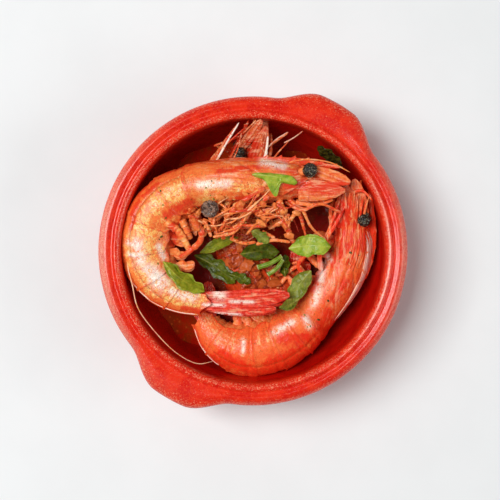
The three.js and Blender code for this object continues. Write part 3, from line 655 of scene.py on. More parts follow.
def mouth_pieces(line, prawn):
    """Scales, feeler stems and jaw legs in front of the head plate."""
    g = prawn["girth"]
    pieces = []
    for side in (-1, 1):
        pieces.append(scale_blade("scale", line, (2, -3 * g, side * 4.4 * g), (-16.6, -3.4 * g, side * 4.2),
                                  width=8.4 * g, thickness=0.6, ribs=5.5, arch=0.5 * side,
                                  outline=POINTED_OUTLINE))
        for places, start, end in (
            (((2, -5.5 * g, side * 3.4), (-4, -5.9 * g, side * 3.6), (-9.2, -6 * g, side * 3.6)),
             2.1 * g, 1.4 * g),
            (((2, 1 * g, side * 1.8), (-5, 1.3 * g, side * 1.9), (-12.2, 1.4 * g, side * 1.9)),
             1.6 * g, 1.0 * g),
            (((-12, 1.4 * g, side * 1.9), (-14.5, 0.6 * g, side * 2.4), (-17, -1 * g, side * 2.2)),
             0.6 * g, 0.3),
            (((-11.5, 1.6 * g, side * 1.7), (-14.5, 2.2 * g, side * 1.6), (-17.4, 2 * g, side * 1.3)),
             0.5 * g, 0.3),
            (((3, -8.3 * g, side * 2), (-5, -9.2 * g, side * 2.6), (-12, -7.4 * g, side * 2)),
             1.1 * g, 0.6),
        ):
            pieces.append(limb("stem", line.run(*places), start, end, (0.34, 0.68), rings=40))
    pieces.append(scale_blade("scale", line, (-3, 5.6 * g, 3.4), (-18.6, -0.4 * g, 3.8),
                              width=5 * g, thickness=0.5, ribs=2.5, arch=0.4))
    return pieces


def walking_legs(line, prawn):
    """Thin jointed legs on the belly side of the head plate, at one side of the prawn or at both."""
    g = prawn["girth"]
    pieces = []
    for i, place in enumerate(LEG_PLACES[:prawn["leg_count"]]):
        for side in prawn["leg_sides"]:
            points = line.run(
                (place, -7 * g, side * 3.4),
                (place - 1.5 + i, -11.2 * g, side * 4.5),
                (place - 2.6 + i, (-14.4 - i * 0.6) * g, side * 4.3),
                (place + 1.4 + i * 1.6, (-17.2 - (i % 2)) * g, side * (3.6 + 0.5 * (i % 3))),
                (place + 4 + i * 2, (-18.8 - (i % 2) * 2) * g, side * (2.6 + (i % 3))),
            )
            pieces.append(limb("leg", points, 1.45 * g, 0.5, (0.2, 0.46, 0.74), rings=60))
    return pieces


def swimming_legs(line, prawn):
    """The short stems and flaps under the first five tail plates."""
    g = prawn["girth"]
    pieces = []
    for i, share in enumerate(PLATE_ENDS[:5]):
        along = prawn["carapace"] + prawn["tail"] * (share + 0.07)
        reach = i - prawn["flap_reach"]
        for side in (-1.2, 2.8):
            hip = line.run((along - 1, -7.4 * g, side),
                           (along + 0.6, (-7.4 + reach) / 2 * min(g, 1), side + 0.4),
                           (along + 2.4, (reach - 5) / 2, side + 0.4))
            pieces.append(limb("flap", hip, 2.0 * g, 1.4 * g, (0.6,), sides=14, flat=0.7))
            pieces.append(scale_blade("flap", line, (along + 0.6, -9.4 * g, side + 0.5),
                                      (along + 6.8, reach + 0.5, side + 0.2),
                                      width=4.2 * g, thickness=0.7, ribs=2.5, arch=0.35))
    return pieces


# Strokes of colour on each prawn's upper side: x and y from, x and y to, and how wide. The pale strokes are
# cream shell and painted highlights; the white strokes are painted highlights, with a few thin pale shell
# edges.
STROKES = {
    "prawn_top": dict(
        # Pale strokes: cream patches of shell, and painted highlights along the lit ridges
        pale=(
            (-44.6, 9, -41.6, -7, 5), (-50, 6, -49.2, -6, 2.6), (-47, -8, -41.6, -15.4, 2.8),
            (-45, 13, -37, 22, 2.8), (-37, 23.4, -29, 26.6, 2.4), (-35, -19, -24, -22.6, 1.8),
            (0, -18.6, 5, -18.4, 1.1), (-13, -24.4, -2, -25, 0.5), (-38, -12, -25, -18.6, 3),
            (-41, 16, -37, 19, 2), (-33, 22.4, -28, 21.6, 3.2), (-46, 9, -41, 6, 3.8), (-45, 1, -38, 1, 3),
            (-21, 25.6, -3, 25.4, 2.4), (-3, 25.4, 4, 27, 2), (4, 36, 14.6, 33.2, 1.2),
            (-43.5, -9, -36, -15, 3.2), (-32, -16, -28, -18, 2.2), (-25, -16.5, -20, -19.5, 2.2),
            (-36, 12.5, -33, 10, 2), (-30, 10, -27, 3, 1.4), (-20, 20.2, -8, 20, 2),
        ),
        # White strokes: painted highlights, with a few thin pale shell edges
        white_and_highlight=(
            (4, 35.4, 12, 34, 1.5), (-14.6, -17.6, -12.8, -18, 1.7), (-50.2, 3.4, -46.6, 1.6, 1),
            (-49.8, -1, -46, -2.6, 0.9), (-42.4, -7, -37.6, -14.4, 2.2), (-15, -25.2, -5, -25.8, 0.5),
            (-38, 2, -36, -3, 1), (-27.4, -18.2, -24.2, -18.6, 1.8), (-46.4, 3, -45.2, -4, 2.2),
            (-40, -8, -36, -13, 2.4), (-21, 26.2, -10, 26.8, 1.5), (-33, -16, -30, -17.6, 1.2),
            (-9, -20.4, 0, -20.6, 0.6), (-20, -21.6, -12, -22, 0.6),
        ),
        red=(
            (-14, 31.6, 2, 33.4, 1.6), (-27, 16, -20, 17.4, 1.4), (10, 33, 17, 31, 1.6),
            (-48.6, 15, -46, 20, 1.6), (-49, 9, -47.4, 14, 1.2), (-44, 22, -38, 27, 1.2),
            (-32.6, 3, -32.6, 10, 2.2), (-35, 14, -25, 20, 2.2), (-6, 20.6, 4, 21.6, 1.8),
            (15, 26, 34, 25.4, 4.5), (-28, -23, -20, -25, 1.8), (-16, -22, 10, -22, 4),
        ),
    ),
    "prawn_right": dict(
        # Pale strokes: painted highlights along the back, with cream streaks of shell
        pale=(
            (-19, -29, -14.6, -35, 2.6), (-8, -34, -8.4, -40, 1.1), (5.6, -33, 6.6, -38.4, 0.8),
            (29.6, -4.6, 27.6, -13.6, 2.1), (27.6, -13.6, 24.6, -22.8, 1.9), (21.2, -26.8, 23.4, -31, 1.8),
            (17.6, -28, 7.6, -34.2, 1.7), (-4, -35.6, -4, -42.6, 1), (2.2, -33.6, 2.8, -38.4, 0.8),
            (12, -27, 18, -26.4, 0.6), (41, 2, 43.4, 14, 0.9), (37, -3, 39.6, 9, 0.8),
            (31, -1.6, 32, -4.4, 1.2), (-13, -34, -10, -37, 2),
        ),
        # White strokes: painted highlights along the lit ridge of the back
        white_and_highlight=(
            (29.4, -5, 28, -12, 1.3), (27.2, -15, 25, -21.6, 1.2), (21.6, -27.6, 23, -30.6, 1.2),
            (16, -29, 9, -33.4, 1.2), (-4, -36.4, -4, -41, 0.8), (31, -2, 31.6, -3.8, 0.9),
        ),
        red=(
            (-16, -44, 2, -50, 3), (2, -50.4, 22, -44, 3.2), (22, -44, 34, -29, 3),
            (39.2, 0, 41.4, 12, 0.9), (44.8, 0, 46, 13, 1), (35.4, -2, 37, 8, 0.8), (38, -13, 33, -20, 2.4),
            (31, -25, 26, -34, 3), (20, -40, 6, -47, 3), (-4, -47, -13, -42, 2.4), (38, 2, 33, -5, 2.6),
            (28, -9, 25, -16, 2), (12, -36, 22, -36, 3.4), (38, 18, 34, 8, 5),
        ),
    ),
    "prawn_back": dict(
        pale=(
            (6, 38, 7.6, 50, 0.9),
        ),
        white_and_highlight=(),
        red=(
            (-10, 40, -4, 52, 3), (-2, 34, 0, 44, 3),
        ),
    ),
}


def tint(obj, name):
    """Writes the strokes of each shade on a piece, full along their middle and fading away from it."""
    places = (coordinates(obj) / MM)[:, :2]
    values = {}
    for shade, strokes in STROKES[name].items():
        amount = np.zeros(len(places))
        for x0, y0, x1, y1, radius in strokes:
            start, run = np.array((x0, y0)), np.array((x1 - x0, y1 - y0))
            share = np.clip((places - start) @ run / max(run @ run, 1e-9), 0, 1)
            away = np.linalg.norm(places - start - share[:, None] * run, axis=1) / radius
            amount = np.maximum(amount, np.exp(-(away**2) * 0.8))
        values[shade] = amount
    note(obj, **values)


# Loose legs, feelers and threads of shell that show between the prawns, thicker end first
TANGLE = {
    "prawn_top": (
        (((-34.9, 11.6, 37), (-30.1, 8, 36), (-25.4, 0.4, 34)), 1.7, 1.4),
        (((-24, 12, 37), (-20.8, 8.4, 38), (-21.2, 4, 37), (-25.4, 0, 35), (-29.5, -2.8, 33.4)), 1.3, 1),
        (((-28.5, 12.5, 36), (-26.6, 8.5, 35), (-25.1, 4.8, 33)), 1.5, 1.1),
        (((-20, 12.4, 37), (-18, 9.2, 38), (-16.8, 5.6, 37)), 0.8, 0.6),
        (((-16, 5.6, 37), (-8, 7.2, 38.5), (-4, 11.6, 39.5), (-1.6, 15.6, 39.5)), 0.6, 0.4),
        (((2, 24.2, 42.9), (-2.4, 21, 42.6), (-8, 17.9, 41)), 0.5, 0.7),
        (((3.6, 24.6, 42.9), (-1.2, 18.3, 41.5), (-4.8, 13.5, 40)), 0.4, 0.5),
        (((-0.8, 17.9, 41), (-2.4, 14.7, 40), (-4, 10, 38)), 0.5, 0.3),
        (((5.6, 10.4, 39), (0.4, 10, 39), (-4.8, 10.4, 38.5)), 1, 0.5),
        (((0.4, 16.7, 40), (-6, 16.3, 39.5), (-12.4, 15.2, 38.5)), 1.1, 0.8),
        (((1.2, 14.8, 38.5), (6.8, 16.4, 39), (12.4, 16.8, 38.5)), 1.2, 0.9),
        (((3.6, 12.4, 37.5), (8.8, 14, 38), (14.8, 14.4, 37)), 1, 0.7),
        (((-9.3, 5.2, 34), (-4, 3.2, 34.5), (1.2, 3.6, 34)), 0.8, 0.6),
        (((1.2, 2.8, 33), (8.1, 4.4, 33.5), (15, 3.6, 33)), 0.8, 0.6),
        (((14.8, 18.4, 37), (20, 16.4, 38), (26.8, 18.8, 38.5), (35.3, 15.6, 36.5)), 0.72, 0.4),
        (((20, 16, 37.5), (23.8, 9.3, 35), (29.6, 4.5, 32)), 0.6, 0.3),
        (((17.6, 17.6, 37), (19.7, 11.7, 35), (21.9, 4.1, 31)), 0.78, 0.34),
        (((12.5, 10.8, 36), (14.5, 7.7, 34), (16.3, 3.2, 31)), 1.3, 0.8),
        (((9.3, 10.1, 34), (14.1, 12.1, 35.5), (18.4, 16.8, 37)), 0.6, 0.9),
        (((3.6, 7.7, 34), (8.9, 5.3, 33)), 0.9, 0.6),
    ),
    "prawn_right": (),
    "prawn_back": (
        (((6.1, 41.9, 34), (9.6, 45, 36), (14, 47.7, 37)), 0.3, 0.2),
        (((12.5, 43.5, 35), (16.1, 45.3, 36.3), (20, 48.1, 36.8)), 0.3, 0.2),
        (((-15.8, 42.5, 32), (-5.6, 46.4, 34), (1.2, 52.4, 36)), 0.5, 0.3),
    ),
}


def sheaf(line, prawn):
    """The feeler stems, jaw legs and scales that stand up side by side before the right prawn's mouth."""
    rng = np.random.default_rng(prawn["seed"])
    pieces = []
    for i in range(26):
        across = i / 25
        top = np.array((37.8, 23.8, 36.4)) * (1 - across) + np.array((46, 21.2, 34)) * across
        angle = 1.95 - 1.15 * across + rng.normal() * 0.05
        reach = rng.uniform(5, 17)
        on_shell = [on_body(line, prawn, np.array([along]), np.array([angle]), 1, extra)[0]
                    for along, extra in ((reach + 4, -0.5), (reach, -0.12), (reach * 0.5, 0.05), (1, 0.3))]
        top = top + rng.normal(size=3) * 0.8
        between = (top + on_shell[-1]) / 2 + (0.8 * (0.5 - across), 0.4, 0.9)
        thick = rng.uniform(0.24, 0.5)
        pieces.append(limb("sheaf", (*on_shell, between, top), thick * 0.5, thick * 0.4, (), 12, 70, 0.7, 0.1,
                           thick * 0.8))
        tone = rng.random()
        note(pieces[-1], bleach=0.62 * (tone < 0.34), flush=0.75 * (tone > 0.6))
    for i in range(11):
        share_at = i / 10
        first, last = rng.uniform(-1, 8), rng.uniform(24, 40)
        from_side, to_side = 1.6 + 3.6 * share_at, -0.8 + 3.2 * share_at
        run = []
        for share in np.linspace(0, 1, 6):
            along = first + (last - first) * share
            back, _, width = body_sizes(prawn, along)
            lean = math.asin((from_side + (to_side - from_side) * share) / width)
            run.append(line.at(along, back * math.cos(lean) - 0.08, width * math.sin(lean) - 0.05)[0])
        pieces.append(limb("strip", run, 0.12, 0.1, (), 12, 70, 0.7, 0.1, rng.uniform(0.26, 0.46)))
        note(pieces[-1], bleach=rng.uniform(0.75, 1.1), flush=0.5 * (rng.random() < 0.25))
    return pieces


def standing_head():
    """What stands up against the wall before the back prawn's head: a split spike and stiff feelers."""
    pieces = []
    for points, start, end, pale in (
        (((-18.8, 31, 29.6), (-15.6, 37, 32), (-10.8, 44.6, 34), (-6, 51.2, 35.6)), 1.5, 0.3, 0.2),
        (((-17.4, 31.4, 30.4), (-13.8, 38, 33.4), (-10.2, 44.2, 35), (-5.6, 51.6, 36)), 0.55, 0.28, 1.4),
        (((-19.8, 32.4, 29), (-15.8, 38.6, 32.2), (-9.8, 43.8, 34.6), (-3.6, 49.2, 36)), 0.5, 0.3, 0.25),
        (((-9.2, 37.4, 33.4), (-6.6, 42.4, 35.2), (-4.4, 46.4, 35.8)), 0.5, 0.3, 0.4),
        (((-8.2, 36.2, 34.2), (-6, 41.4, 35.6), (-4.6, 47.6, 36.2)), 0.35, 0.2, 0.1),
        (((3.6, 33.6, 35.6), (5.2, 39.2, 36.2), (6, 46, 36.4)), 0.75, 0.35, 1.3),
        (((1.4, 33.4, 35.4), (3.4, 40.6, 36.4), (3.2, 47.4, 36.6)), 0.6, 0.3, 0.1),
        (((7.4, 33.4, 34.4), (8.6, 37.4, 35.4), (14.2, 44, 36.4)), 0.45, 0.22, 0.2),
    ):
        pieces.append(limb("stem", points, start, end, (0.5,), 12, 60, 0.6, 0.08))
        note(pieces[-1], bleach=pale, flush=0.6 - pale)
    return pieces


def pale_edge(line, prawn, start, stop):
    """The thin pale ridge along the back of the last tail plates."""
    places = [prawn["carapace"] + prawn["tail"] * share for share in np.linspace(start, stop, 6)]
    run = [line.at(along, body_sizes(prawn, along)[0] + 0.15, 0.8)[0] for along in places]
    ridge = limb("ridge", run, 0.26, 0.22, (), 12, 70, 0.7)
    note(ridge, bleach=0.86)
    return [ridge]


def build_prawn(which):
    """The pieces of one prawn: its shell, its limbs and its eyes, which stand for one solid together."""
    prawn = PRAWNS[which]
    line = BodyLine(prawn["spine"], prawn["turn"], prawn["roll"])
    plates = [head_plate("plate", line, prawn), flesh("plate", line, prawn), crest("plate", line, prawn)]
    plates += [tail_plate("plate", line, prawn, i) for i in range(6)]
    limbs = redden(blades_of_fan(line, prawn), 1.05) + redden(mouth_pieces(line, prawn), 0.5)
    limbs += redden(walking_legs(line, prawn), 0) + redden(swimming_legs(line, prawn), -0.2)
    for points, start, end in prawn["sticks"] + TANGLE[which]:
        limbs.append(limb("limb", points, start, end, (0.3, 0.62) if start > 0.7 else (), 12, 60))
        flushed = 0.71 < start < 0.79 or 0.9 < start < 1.4
        note(limbs[-1], bleach=0.42 * (start < 0.7) + 0.34 * (start < 0.36), flush=0.7 * flushed)
    if which == "prawn_right":
        limbs += sheaf(line, prawn) + pale_edge(line, prawn, 0.74, 0.98)
    elif which == "prawn_top":
        limbs += pale_edge(line, prawn, 0.62, 0.99)
    else:
        limbs += standing_head()
    g = prawn["girth"]
    for side in (-1, 1):
        stalk = line.run((2, 4 * g, side * 3), (-0.4, 4.6 * g, side * 4.4 * g),
                         (-2.2, 4.9 * g, side * 5.2 * g))
        limbs.append(limb("limb", stalk, 1.5 * g, 1.7 * g, (), 14, 10))
    for obj in plates + limbs:
        tint(obj, which)
    for obj in limbs:
        note(obj, limb=1)
    pieces = []
    for name, parts, degrees in (("shell", plates, 60), ("limbs", limbs, 60),
                                 ("eyes", [eye("eye", line, prawn, side) for side in (-1, 1)], 80)):
        pieces.append(close_up(join(which + "_" + name, parts), degrees))
    return pieces


# The dish

def lug_share(angle):
    apart = np.min([np.abs(np.angle(np.exp(1j * (angle - math.radians(lug))))) for lug in LUG_DIRECTIONS], 0)
    return 1 - smooth(apart / math.radians(LUG_HALF_ANGLE), 0.25, 1)


def dish_profile():
    """The dish's outline from the foot up, over the rim and in, as a smooth line."""
    knots = np.array(PROFILE_POINTS, float)
    samples, arc = curve_through(knots * (1, 1, 10), 8)
    keep = arc <= arc[-1] + 1
    outline = samples[keep] * (1, 1, 0.1)
    for column, highest in enumerate((RIM_RADIUS, RIM_HEIGHT, 1)):
        outline[:, column] = np.clip(outline[:, column], 0, highest)
    return outline


def build_bowl(name):
    outline = dish_profile()
    obj = rod(name, DISH_SIDES, len(outline) - 1)
    unit = coordinates(obj)
    index = np.rint(unit[:, 2] * (len(outline) - 1)).astype(int)
    angle = np.arctan2(unit[:, 1], unit[:, 0])
    radius, height, lug = outline[index].T
    radius = radius + LUG_REACH * lug * lug_share(angle)
    points = np.stack([radius * np.cos(angle), radius * np.sin(angle), height], 1)
    uneven = 0.16 * bumps(points, 17, 1) + 0.05 * bumps(points, 5, 2)
    throwing = 0.05 * np.sin(height * 2.1 + 0.6 * np.sin(angle)) * (radius > 20) * (height < 30)
    solid_foot = smooth(height, 0.4, 3)
    moved = radius - np.abs(uneven + throwing) * solid_foot * (radius > 1)
    points[:, 0], points[:, 1] = moved * np.cos(angle), moved * np.sin(angle)
    put_coordinates(obj, points)
    rim = index / (len(outline) - 1)
    inner = smooth(rim, 0.705, 0.76)
    outer_edge = np.exp(-(((radius - 62 - LUG_REACH * lug * lug_share(angle)) / 1.6) ** 2)) * (height > 30)
    inner_edge = hump(radius, 54.6, 1.3) * (height > 33)
    # Painted sheen: pale paint on the rim's outer shoulder and inner bead, on the sides facing the large
    # light (left) and the reflector (right)
    left, right = (np.exp(-((np.angle(np.exp(1j * (angle - where))) / spread) ** 2))
                   for where, spread in ((math.radians(182), 0.62), (math.radians(2), 0.55)))
    shoulder_sheen = np.exp(-(((radius - 60.6 - LUG_REACH * lug * lug_share(angle)) / 1.3) ** 2)) * (height > 33)
    bead = hump(radius, 55, 0.5) * (height > 34)
    note(obj, inner=inner, edge=np.maximum(outer_edge, inner_edge), height=height,
         painted_sheen=shoulder_sheen * (left + 0.6 * right) + 0.7 * bead * right)
    return close_up(obj, 70)


def inner_wall():
    """Radius and height of the dish's inside, from the middle of the floor outwards."""
    outline = dish_profile()
    start = int(np.argmax((outline[:, 1] < 34) & (np.arange(len(outline)) > len(outline) * 0.6)))
    inside = outline[start:][::-1]
    return inside[:, 0], inside[:, 1]


def build_sauce(name):
    """The thin film of oily cooking juice that lies on the floor and has run up the wall."""
    radii, heights = inner_wall()
    obj = sheet(name, 180, 40)
    flat = coordinates(obj)
    angle, share = flat[:, 0] * math.pi, (flat[:, 1] + 1) / 2
    rim = SAUCE_RADIUS + 1.6 * np.sin(3 * angle + 1) + 1.1 * np.sin(7 * angle) + 0.7 * np.sin(17 * angle + 2)
    radius = share * rim
    height = np.interp(radius, radii, heights)
    depth = 0.55 * np.sqrt(np.clip(1 - share**8, 0, 1)) + 0.02
    points = np.stack([radius * np.cos(angle), radius * np.sin(angle), height + depth], 1)
    points[:, 2] += 0.1 * bumps(points, 8, 4) * (1 - share**4)
    put_coordinates(obj, points)
    edit(obj, lambda: bpy.ops.mesh.remove_doubles(threshold=2e-6))
    thicken(obj, 0.5, -1)
    return close_up(obj, 80)


# The parsley

LOBED = ((0, 0.12, 0.12), (0.2, 0.8, 0.6), (0.36, 0.45, 0.5), (0.55, 1, 0.9), (0.72, 0.5, 0.55),
         (0.86, 0.7, 0.6), (1, 0.08, 0.08))
BRANCHED = ((0, 0.2, 0.2), (0.25, 0.35, 0.5), (0.37, 0.45, 2.4), (0.5, 0.4, 2.7), (0.63, 0.5, 0.5),
            (0.87, 0.6, 0.5), (1, 0.1, 0.4))
LANCE = ((0, 0.1, 0.1), (0.25, 0.8, 0.75), (0.5, 1, 0.95), (0.75, 0.85, 0.6), (1, 0.08, 0.08))
BROAD = ((0, 0.15, 0.15), (0.16, 0.8, 0.7), (0.4, 0.9, 1), (0.55, 1, 0.75), (0.8, 0.75, 0.8), (1, 0.12, 0.1))
LEAVES = {
    "leaf_on_shell": ((-0.4, 30.2), (17.4, 27.2), 5.2, BRANCHED, 0.6, "bright"),
    "leaf_on_tail": ((-36, -4.2), (-19.6, -16.4), 7.4, LOBED, -1.6, "green"),
    "leaf_by_legs": ((-6, 5.6), (-21.6, -0.8), 4.4, LANCE, -0.8, "green"),
    "leaf_in_gap": ((-24.4, -1.8), (-7.4, -13.2), 8.6, LOBED, 1, "dark"),
    "leaf_in_middle": ((-5.2, -1.4), (10.9, -0.4), 6.8, BROAD, 0.8, "dark"),
    "leaf_small_dark": ((-9.6, -9.6), (-0.8, -13.2), 4.6, LOBED, 0.3, "dark"),
    "leaf_large_bright": ((14.6, 1), (31.4, 1.6), 8.2, BROAD, 0.9, "bright"),
    "leaf_olive": ((23.6, -8), (15.2, -20.6), 7, BROAD, -0.6, "olive"),
    "leaf_below_olive": ((18.8, -19.4), (10.8, -23.2), 4.2, LANCE, 0.3, "olive"),
    "leaf_grey_green": ((-0.6, 8.2), (6.4, 3.4), 5, LOBED, 0.2, "olive"),
    "leaf_under_stalks": ((13.4, -10.6), (13.6, -1.6), 5, LOBED, 0.4, "dark"),
}


def solid_below(node):
    """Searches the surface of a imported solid, in metres."""
    source = bpy.data.objects[node]
    matrix = source.matrix_world
    vertices = [matrix @ vertex.co for vertex in source.data.vertices]
    return BVHTree.FromPolygons(vertices, [polygon.vertices[:] for polygon in source.data.polygons])


def middle_height(tree, x, y):
    """The height of a thin solid's middle at a place seen from above, in millimetres."""
    high = tree.ray_cast(Vector((x * MM, y * MM, 0.1)), Vector((0, 0, -1)))[0]
    if high is not None:
        low = tree.ray_cast(Vector((x * MM, y * MM, 0.0)), Vector((0, 0, 1)))[0]
        return (high.z + low.z) / 2 / MM
    near = tree.find_nearest(Vector((x * MM, y * MM, 0.036)))[0]
    for _ in range(3):
        near = tree.find_nearest(Vector((x * MM, y * MM, near.z)))[0]
    return near.z / MM


def build_leaf(name, number):
    root, tip, width, lobes, bend, _ = LEAVES[name]
    tree = solid_below(name)
    obj = sheet(name + "_blade", 72, 34)
    flat = coordinates(obj)
    along, across = (flat[:, 0] + 1) / 2, flat[:, 1]
    dx, dy = tip[0] - root[0], tip[1] - root[1]
    length = math.hypot(dx, dy)
    where, left, right = zip(*lobes)
    seed = number * 3.7
    jag = 1.03 + 0.045 * np.sin(along * 19 + seed) * np.sin(along * 9 + 2 * seed)
    jag = jag + 0.012 * np.sin(along * 61 + seed)
    blur = [np.interp(along + shift, where, left) for shift in (-0.05, -0.02, 0, 0.02, 0.05)]
    blur_right = [np.interp(along + shift, where, right) for shift in (-0.05, -0.02, 0, 0.02, 0.05)]
    share = np.where(across > 0, sum(blur) / 5, sum(blur_right) / 5) * jag * smooth(along, -0.04, 0.08)
    share = np.maximum(share * smooth(1.03 - along, 0, 0.09), 0.03)
    sweep = 0.09 * length * np.abs(across) ** 1.3 * share
    run = np.clip(along * length + sweep * (1 - along), 0, length)
    off = bend * np.sin(math.pi * run / length) + across * width * 0.56 * share
    x = root[0] + (dx * run - dy * off) / length
    y = root[1] + (dy * run + dx * off) / length
    z = np.array([middle_height(tree, *place) for place in zip(x, y)])
    ribs = along * 4.6 - np.abs(across * share) * 1.9 + 0.25 * np.sin(along * 5 + seed) + 0.25 * (across > 0)
    vein = hump(np.sin(math.pi * ribs), 0, 0.13) * (1 - 0.5 * np.abs(across)) \
        * smooth(np.abs(across), 0.02, 0.12)
    midrib = hump(across * share, 0, 0.07) * (1 - 0.6 * along)
    flat_places = np.stack([x, y, 0 * x], 1)
    crumple = 0.16 * bumps(flat_places, 2.2, seed) + 0.07 * bumps(flat_places, 0.9, seed)
    curl = 0.3 * np.sin(along * 9 + seed + 2 * across) * across**2
    z = z - 0.16 * midrib + 0.08 * np.abs(np.sin(math.pi * ribs)) + crumple - 0.07 * vein + curl
    put_coordinates(obj, np.stack([x, y, z], 1))
    note(obj, vein=np.maximum(vein, midrib), rim=smooth(np.abs(across), 0.85, 1))
    thicken(obj, 0.34, 0)
    return close_up(obj, 60)


STALKS = {"stalk_across": ((1.6, -7), (12.2, -2.2), 1.1), "stalk_beside": ((6, -10), (12.6, -3.6), 0.95)}


def build_stalk(name):
    """A cut parsley stalk, ridged along its length, that tears open a little at its ends."""
    root, tip, radius = STALKS[name]
    tree = solid_below(name)
    middle = ((root[0] + tip[0]) / 2 + 0.5, (root[1] + tip[1]) / 2 - 0.4)
    inset = [tuple(a + (b - a) * share for a, b in zip(root, tip)) for share in (0.03, 0.97)]
    points = tuple((x, y, middle_height(tree, x, y)) for x, y in (inset[0], middle, inset[1]))
    obj = rod(name + "_stem", 40, 70)
    unit = coordinates(obj)
    angle = np.arctan2(unit[:, 0], unit[:, 1])

    def radius_at(share):
        ridges = 1 + 0.07 * np.cos(angle * 7)
        torn = 1 + 0.12 * (smooth(share, 0.94, 1) + 1 - smooth(share, 0, 0.06)) * np.sin(angle * 3)
        return radius * (1 - 0.08 * share) * ridges * torn * (1 - 0.12 * np.sin(share * 9) ** 2)

    put_coordinates(obj, tube_points(unit, points, radius_at))
    note(obj, vein=0.5 + 0.5 * np.cos(angle * 7), rim=np.abs(unit[:, 2] * 2 - 1) ** 12)
    return close_up(obj, 60)


def build_peppercorn(name):
    tree = solid_below("peppercorn")
    middle = np.array((*PEPPERCORN_PLACE, 0.0))
    middle[2] = middle_height(tree, *middle[:2])
    obj = ball(name, 6)
    unit = coordinates(obj)
    folds = np.abs(bumps(unit * 3.4, 1.7, 7)) * 1.5 + np.abs(bumps(unit * 3.4, 0.8, 3)) * 0.6
    put_coordinates(obj, middle + unit * (PEPPERCORN_RADIUS - np.minimum(folds, 1.5))[:, None])
    return round_off(obj, 80)


def build_wall_leaf(name):
    """A dried dark leaf that sticks to the inside of the wall."""
    obj = sheet(name, 70, 26)
    along, across = sheet_places(obj)
    angle = np.radians(WALL_LEAF_FROM + (WALL_LEAF_TO - WALL_LEAF_FROM) * along)
    waves = 1 + 0.05 * np.sin(along * 23) + 0.03 * np.sin(along * 51)
    full = np.sin(math.pi * (0.06 + 0.88 * along)) ** 0.7 * waves
    rise = 0.5 + 0.5 * across * np.clip(full, 0, 1)
    radius = WALL_LEAF_RADIUS + WALL_LEAF_SLOPE * rise - 0.5 * np.abs(np.sin(9 * along))
    height = WALL_LEAF_FOOT + WALL_LEAF_HEIGHT * rise + 0.6 * np.sin(8 * along)
    fold = 0.26 * np.sin(along * 19 + across * 3) + 0.12 * np.sin(along * 41 - across * 6)
    fold = fold - 0.25 * hump(across, 0, 0.12)
    from_middle = radius - 0.1 - fold
    points = np.stack([from_middle * np.cos(angle), from_middle * np.sin(angle), height], 1)
    put_coordinates(obj, points)
    thicken(obj, 0.4, 0)
    return close_up(obj, 60)


def surface_tree(*objects):
    vertices, faces = [], []
    for obj in objects:
        start = len(vertices)
        vertices += [vertex.co.copy() for vertex in obj.data.vertices]
        faces += [[start + i for i in polygon.vertices] for polygon in obj.data.polygons]
    return BVHTree.FromPolygons(vertices, faces)


# Round areas where small bits lie, seen from above: x, y and how wide
MIDDLE = ((-6, 12, 11), (6, 14, 10), (-14, 4, 9), (2, 0, 12), (16, 8, 7), (10, -8, 8))
HEAP = ((-22, 14, 5), (-14, 14, 6), (-7, 15, 7), (1, 16, 7), (9, 15, 6), (15, 13, 5), (-6, 9, 7),
        (-14, 8, 5))
MIDDLE_FLOOR = ((-6, -3, 8), (-2, -9, 8), (-9, -6, 6), (2, -4, 6), (6, -12, 6))
WIDE = (*MIDDLE, (-34, 8, 14), (-20, 24, 10), (20, -26, 12), (34, 4, 10))


def scatter_bits(name, rng, tree, areas, count, small, large, flatness, cuts=2, highest=44):
    """Small bits that lie on what is under them, in round areas seen from above."""
    bits = []
    for _ in range(count):
        x0, y0, spread = areas[rng.integers(len(areas))]
        x, y = x0 + rng.normal() * spread / 2, y0 + rng.normal() * spread / 2
        hit, normal = tree.ray_cast(Vector((x * MM, y * MM, 0.1)), Vector((0, 0, -1)))[:2]
        if hit is None or hit.z > highest * MM or normal.z < 0.2:
            continue
        size = small + (large - small) * rng.random() ** 2
        bit = ball(name, cuts)
        unit = coordinates(bit)
        stretch = np.array((1, rng.uniform(0.45, 0.9), flatness)) * size
        turn = rng.uniform(0, math.pi)
        shape = unit * stretch * (1 + 0.55 * bumps(unit * 2 + rng.uniform(0, 50), 1.2))[:, None]
        level = Vector(normal).orthogonal().normalized()
        side = Vector(normal).cross(level)
        a = np.array(level) * math.cos(turn) + np.array(side) * math.sin(turn)
        b = np.cross(np.array(normal), a)
        middle = np.array(hit) / MM + np.array(normal) * size * flatness * 0.5
        put_coordinates(bit, middle + shape[:, :1] * a + shape[:, 1:2] * b + shape[:, 2:] * np.array(normal))
        note(bit, along=rng.random())
        bits.append(bit)
    whole = join(name, bits)
    return round_off(whole, 60)


